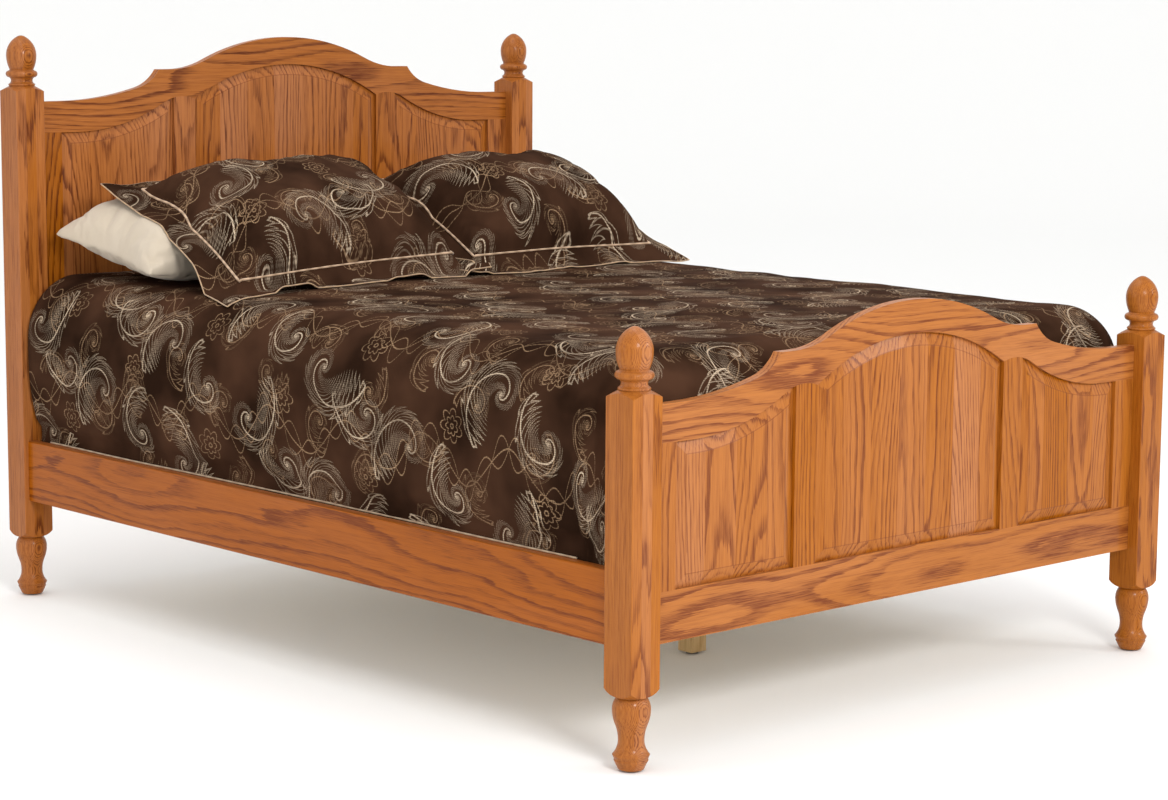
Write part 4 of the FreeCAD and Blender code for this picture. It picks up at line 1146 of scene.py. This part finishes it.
class BED_OT_pillows(bpy.types.Operator):
    """Lays the two white sleeping pillows against the headboard"""

    bl_idname = "bed.pillows"
    bl_label = "Sleeping pillows"

    def execute(self, context):
        look = context.scene.bed_bedding
        cotton = woven_plain("woven cotton percale", "#C2B5A3", "#B8A994", pitch=0.0007,
                             roughness=0.85, relief=0.45)
        cover = bpy.data.objects["comforter_quilted"]
        grid = (90, 60)
        for side, sign in (("left", -1), ("right", 1)):
            node = "pillow_" + side
            low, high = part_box(node)
            outer = low.x if sign < 0 else high.x
            inner = high.x if sign < 0 else low.x
            front, back = low.y, high.y
            corners = [
                (outer, front - 0.004, low.z + 0.03),
                (inner, front, low.z + 0.02),
                (outer - sign * 0.004, back, low.z + 0.096),
                (inner, back, low.z + 0.096),
            ]
            if sign > 0:
                corners = [corners[1], corners[0], corners[3], corners[2]]
            top, bottom, cloth, edge, _ = pillow_form(
                corners, flange=0.0, crown=high.z - low.z - 0.06, belly=0.03,
                draw=(0.03, 0.02), grid=grid, seed=7 + sign, creases=0.006)
            piece = shell("cotton_pillow_" + side, top, bottom, cloth, cotton)
            let_swell(piece, edge, look.swell_frames, slack=0.05)
            settle(piece, [cover], 0.001, grid[1], grid[0])
            finish_pillow(piece)
            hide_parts(node)
        return {"FINISHED"}


class BED_OT_shams(bpy.types.Operator):
    """Leans the two flanged shams on the pillows, with piping and a gold edge"""

    bl_idname = "bed.shams"
    bl_label = "Pillow shams"

    def execute(self, context):
        look = context.scene.bed_bedding
        jacquard = bpy.data.materials.get("woven satin jacquard") or woven_jacquard(look)
        piping = twisted_cord("twisted rayon cord", "#C9A98A")
        edging = twisted_cord("overlocked gold edge", "#B4936C")
        cover = bpy.data.objects["comforter_quilted"]
        pillows = [bpy.data.objects["cotton_pillow_left"], bpy.data.objects["cotton_pillow_right"]]
        grid = (120, 90)
        columns, rows = grid
        flange, droop, wave_height, rest_gap, stand_off = 0.075, 0.16, 0.006, 0.0012, 0.018
        forms = {
            "right": ((0.0, 0.345, 0.797), (0.752, 0.345, 0.795), (0.046, 0.898, 1.016),
                      (0.796, 0.898, 1.016)),
            "left": ((-0.738, 0.288, 0.782), (0.078, 0.342, 0.815), (-0.668, 0.9, 1.016),
                     (0.135, 0.898, 1.03)),
        }
        supports = [cover] + pillows
        for side, corners in forms.items():
            node = "sham_" + side
            top, bottom, cloth, edge, outside = pillow_form(
                corners, flange, crown=0.114, belly=0.004, draw=(0.032, 0.016), grid=grid,
                seed=19 + len(side), creases=0.009)
            # the flange hangs a little, waves and ripples, and falls on what is under it
            x, y = cloth[:, :, 0], cloth[:, :, 1]
            wave = wave_height * smooth_noise(x * 14, y * 14, 60 + len(side))
            hang = -droop * outside + wave * bump_step(0, flange, outside)
            over, back = x / x.max(), y / y.max()
            ripple = smooth_noise(x * 9, y * 5, 90 + len(side))
            front = (0.72 + 0.28 * ripple) * (1 - bump_step(0.1, 0.35, back))
            if side == "right":
                front = front * (1 - bump_step(0.72, 0.92, over))
                inner = 1 - bump_step(0.1, 0.4, over)
            else:
                inner = bump_step(0.6, 0.9, over)
            fall = np.maximum(front, inner) * outside
            # the front of the flange is rumpled: here and there it stands off the cover
            rumple = np.maximum(smooth_noise(x * 17, y * 9, 40 + len(side)), 0)
            rumple *= bump_step(0.015, flange, outside) * (1 - bump_step(0.12, 0.3, back))
            top[:, :, 2] += hang
            bottom[:, :, 2] += hang
            apart = 0.11 if side == "left" else 0.04
            piece = shell("jacquard_sham_" + side, top, bottom, cloth + apart, jacquard)
            let_swell(piece, edge, look.swell_frames, slack=0.04)
            settle(piece, supports, rest_gap + stand_off * rumple.ravel(), rows, columns, fall)
            points = np.array([v.co for v in piece.data.vertices])[: rows * columns]
            points = points.reshape(rows, columns, 3)
            seam_cells = edge <= 1e-9
            seam_column = int(np.argmax(~seam_cells[rows // 2])) - 1
            seam_row = int(np.argmax(~seam_cells[:, columns // 2])) - 1
            for label, inset, raised, radius, cord in (
                ("_piping", (seam_row, seam_column), 0.002, 0.003, piping),
                ("_edging", (0, 0), -0.002, 0.0016, edging),
            ):
                path = np.array([points[spot] for spot in border(rows, columns, inset)])
                path[:, 2] += raised
                tube(node + label, path, radius, cord, piece, closed=True)
            finish_pillow(piece)
            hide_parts(node)
            supports.append(piece)
        return {"FINISHED"}


# ---- Studio ----------------------------------------------------------------------------------


class BED_OT_studio(bpy.types.Operator):
    """Sets up the floor, the lights and the camera"""

    bl_idname = "bed.studio"
    bl_label = "Studio"

    def execute(self, context):
        look = context.scene.bed_studio
        scene = context.scene
        mesh = bpy.data.meshes.new("studio_floor")
        around, sweep, floor_reach, wall_top, bend = 96, 12, 12.0, 4.6, 3.6
        profile = [(0.02 * floor_reach, 0.0), (floor_reach, 0.0)]
        for i in range(1, sweep + 1):
            a = math.pi / 2 * i / sweep
            profile.append((floor_reach + bend * math.sin(a), bend * (1 - math.cos(a))))
        profile.append((floor_reach + bend, wall_top))
        turns = [2 * math.pi * k / around for k in range(around)]
        points = [(r * math.cos(a), r * math.sin(a), z) for r, z in profile for a in turns]
        faces = grid_faces(len(profile), around, closed=True)
        faces.append(tuple(range(around))[::-1])
        mesh.from_pydata(points, [], faces)
        mesh.shade_smooth()
        floor = bpy.data.objects.new("studio_floor", mesh)
        scene.collection.objects.link(floor)
        mesh.materials.append(painted_floor(look))

        world = bpy.data.worlds.new("white surround")
        world.use_nodes = True
        background = world.node_tree.nodes["Background"]
        background.inputs["Color"].default_value = linear("#FFFFFF")
        background.inputs["Strength"].default_value = look.sky
        scene.world = world

        for name, place, aim, wide, tall, power in (
            ("key", (-2.4, -5.8, 3.3), (0, 0, 0.5), 1.5, 1.2, look.key_power),
            ("strip", (-5.6, 0.9, 1.7), (0, 1.0, 0.9), 0.5, 1.8, 0.35 * look.fill_power),
            ("fill", (3.4, -4.8, 2.6), (0, 0, 0.6), 1.3, 1.0, look.fill_power),
            ("top", (-0.6, 0.2, 4.4), (0, 0, 0.5), 2.4, 2.4, 0.8 * look.fill_power),
        ):
            lamp = bpy.data.lights.new(name, "AREA")
            lamp.shape = "RECTANGLE"
            lamp.size, lamp.size_y = wide, tall
            lamp.energy = power
            holder = bpy.data.objects.new(name, lamp)
            holder.location = place
            away = Vector(place) - Vector(aim)
            holder.rotation_euler = away.to_track_quat("Z", "Y").to_euler()
            scene.collection.objects.link(holder)

        camera = bpy.data.cameras.new("camera")
        camera.sensor_width = 36.0
        camera.lens = look.lens
        camera.clip_end = 100.0
        holder = bpy.data.objects.new("camera", camera)
        scene.collection.objects.link(holder)
        yaw, pitch, roll = look.camera_yaw, look.camera_pitch, look.camera_roll
        ahead = Vector((math.sin(yaw) * math.cos(pitch), math.cos(yaw) * math.cos(pitch),
                        -math.sin(pitch)))
        right = ahead.cross(Vector((0, 0, 1))).normalized()
        up = right.cross(ahead)
        side = right * math.cos(roll) + up * math.sin(roll)
        upward = up * math.cos(roll) - right * math.sin(roll)
        holder.matrix_world = Matrix.Translation(look.camera_place) @ Matrix(
            (side, upward, -ahead)).transposed().to_4x4()
        scene.camera = holder
        scene.view_settings.view_transform = "Standard"
        return {"FINISHED"}


class BED_PT_panel(bpy.types.Panel):
    """Lists the bed's settings and its operators"""

    bl_idname = "BED_PT_panel"
    bl_label = "Panel bed"
    bl_space_type = "VIEW_3D"
    bl_region_type = "UI"
    bl_category = "Bed"

    def draw(self, context):
        for group in (context.scene.bed_oak, context.scene.bed_bedding, context.scene.bed_studio):
            box = self.layout.box()
            for name in group.__annotations__:
                box.prop(group, name)
        for operator in OPERATORS:
            self.layout.operator(operator.bl_idname)


OPERATORS = (
    BED_OT_oak,
    BED_OT_hardware,
    BED_OT_mattress,
    BED_OT_comforter,
    BED_OT_pillows,
    BED_OT_shams,
    BED_OT_studio,
)
CLASSES = (OakSettings, BeddingSettings, StudioSettings) + OPERATORS + (BED_PT_panel,)


def register():
    """Adds the classes and their settings to Blender."""
    for item in CLASSES:
        bpy.utils.register_class(item)
    bpy.types.Scene.bed_oak = PointerProperty(type=OakSettings)
    bpy.types.Scene.bed_bedding = PointerProperty(type=BeddingSettings)
    bpy.types.Scene.bed_studio = PointerProperty(type=StudioSettings)


def unregister():
    """Takes the classes and their settings out again."""
    del bpy.types.Scene.bed_oak
    del bpy.types.Scene.bed_bedding
    del bpy.types.Scene.bed_studio
    for item in reversed(CLASSES):
        bpy.utils.unregister_class(item)


def main():
    """Makes the looks and the studio."""
    register()
    bpy.ops.bed.oak()
    bpy.ops.bed.hardware()
    bpy.ops.bed.mattress()
    bpy.ops.bed.comforter()
    bpy.ops.bed.pillows()
    bpy.ops.bed.shams()
    bpy.ops.bed.studio()


if __name__ == "__main__":
    main()
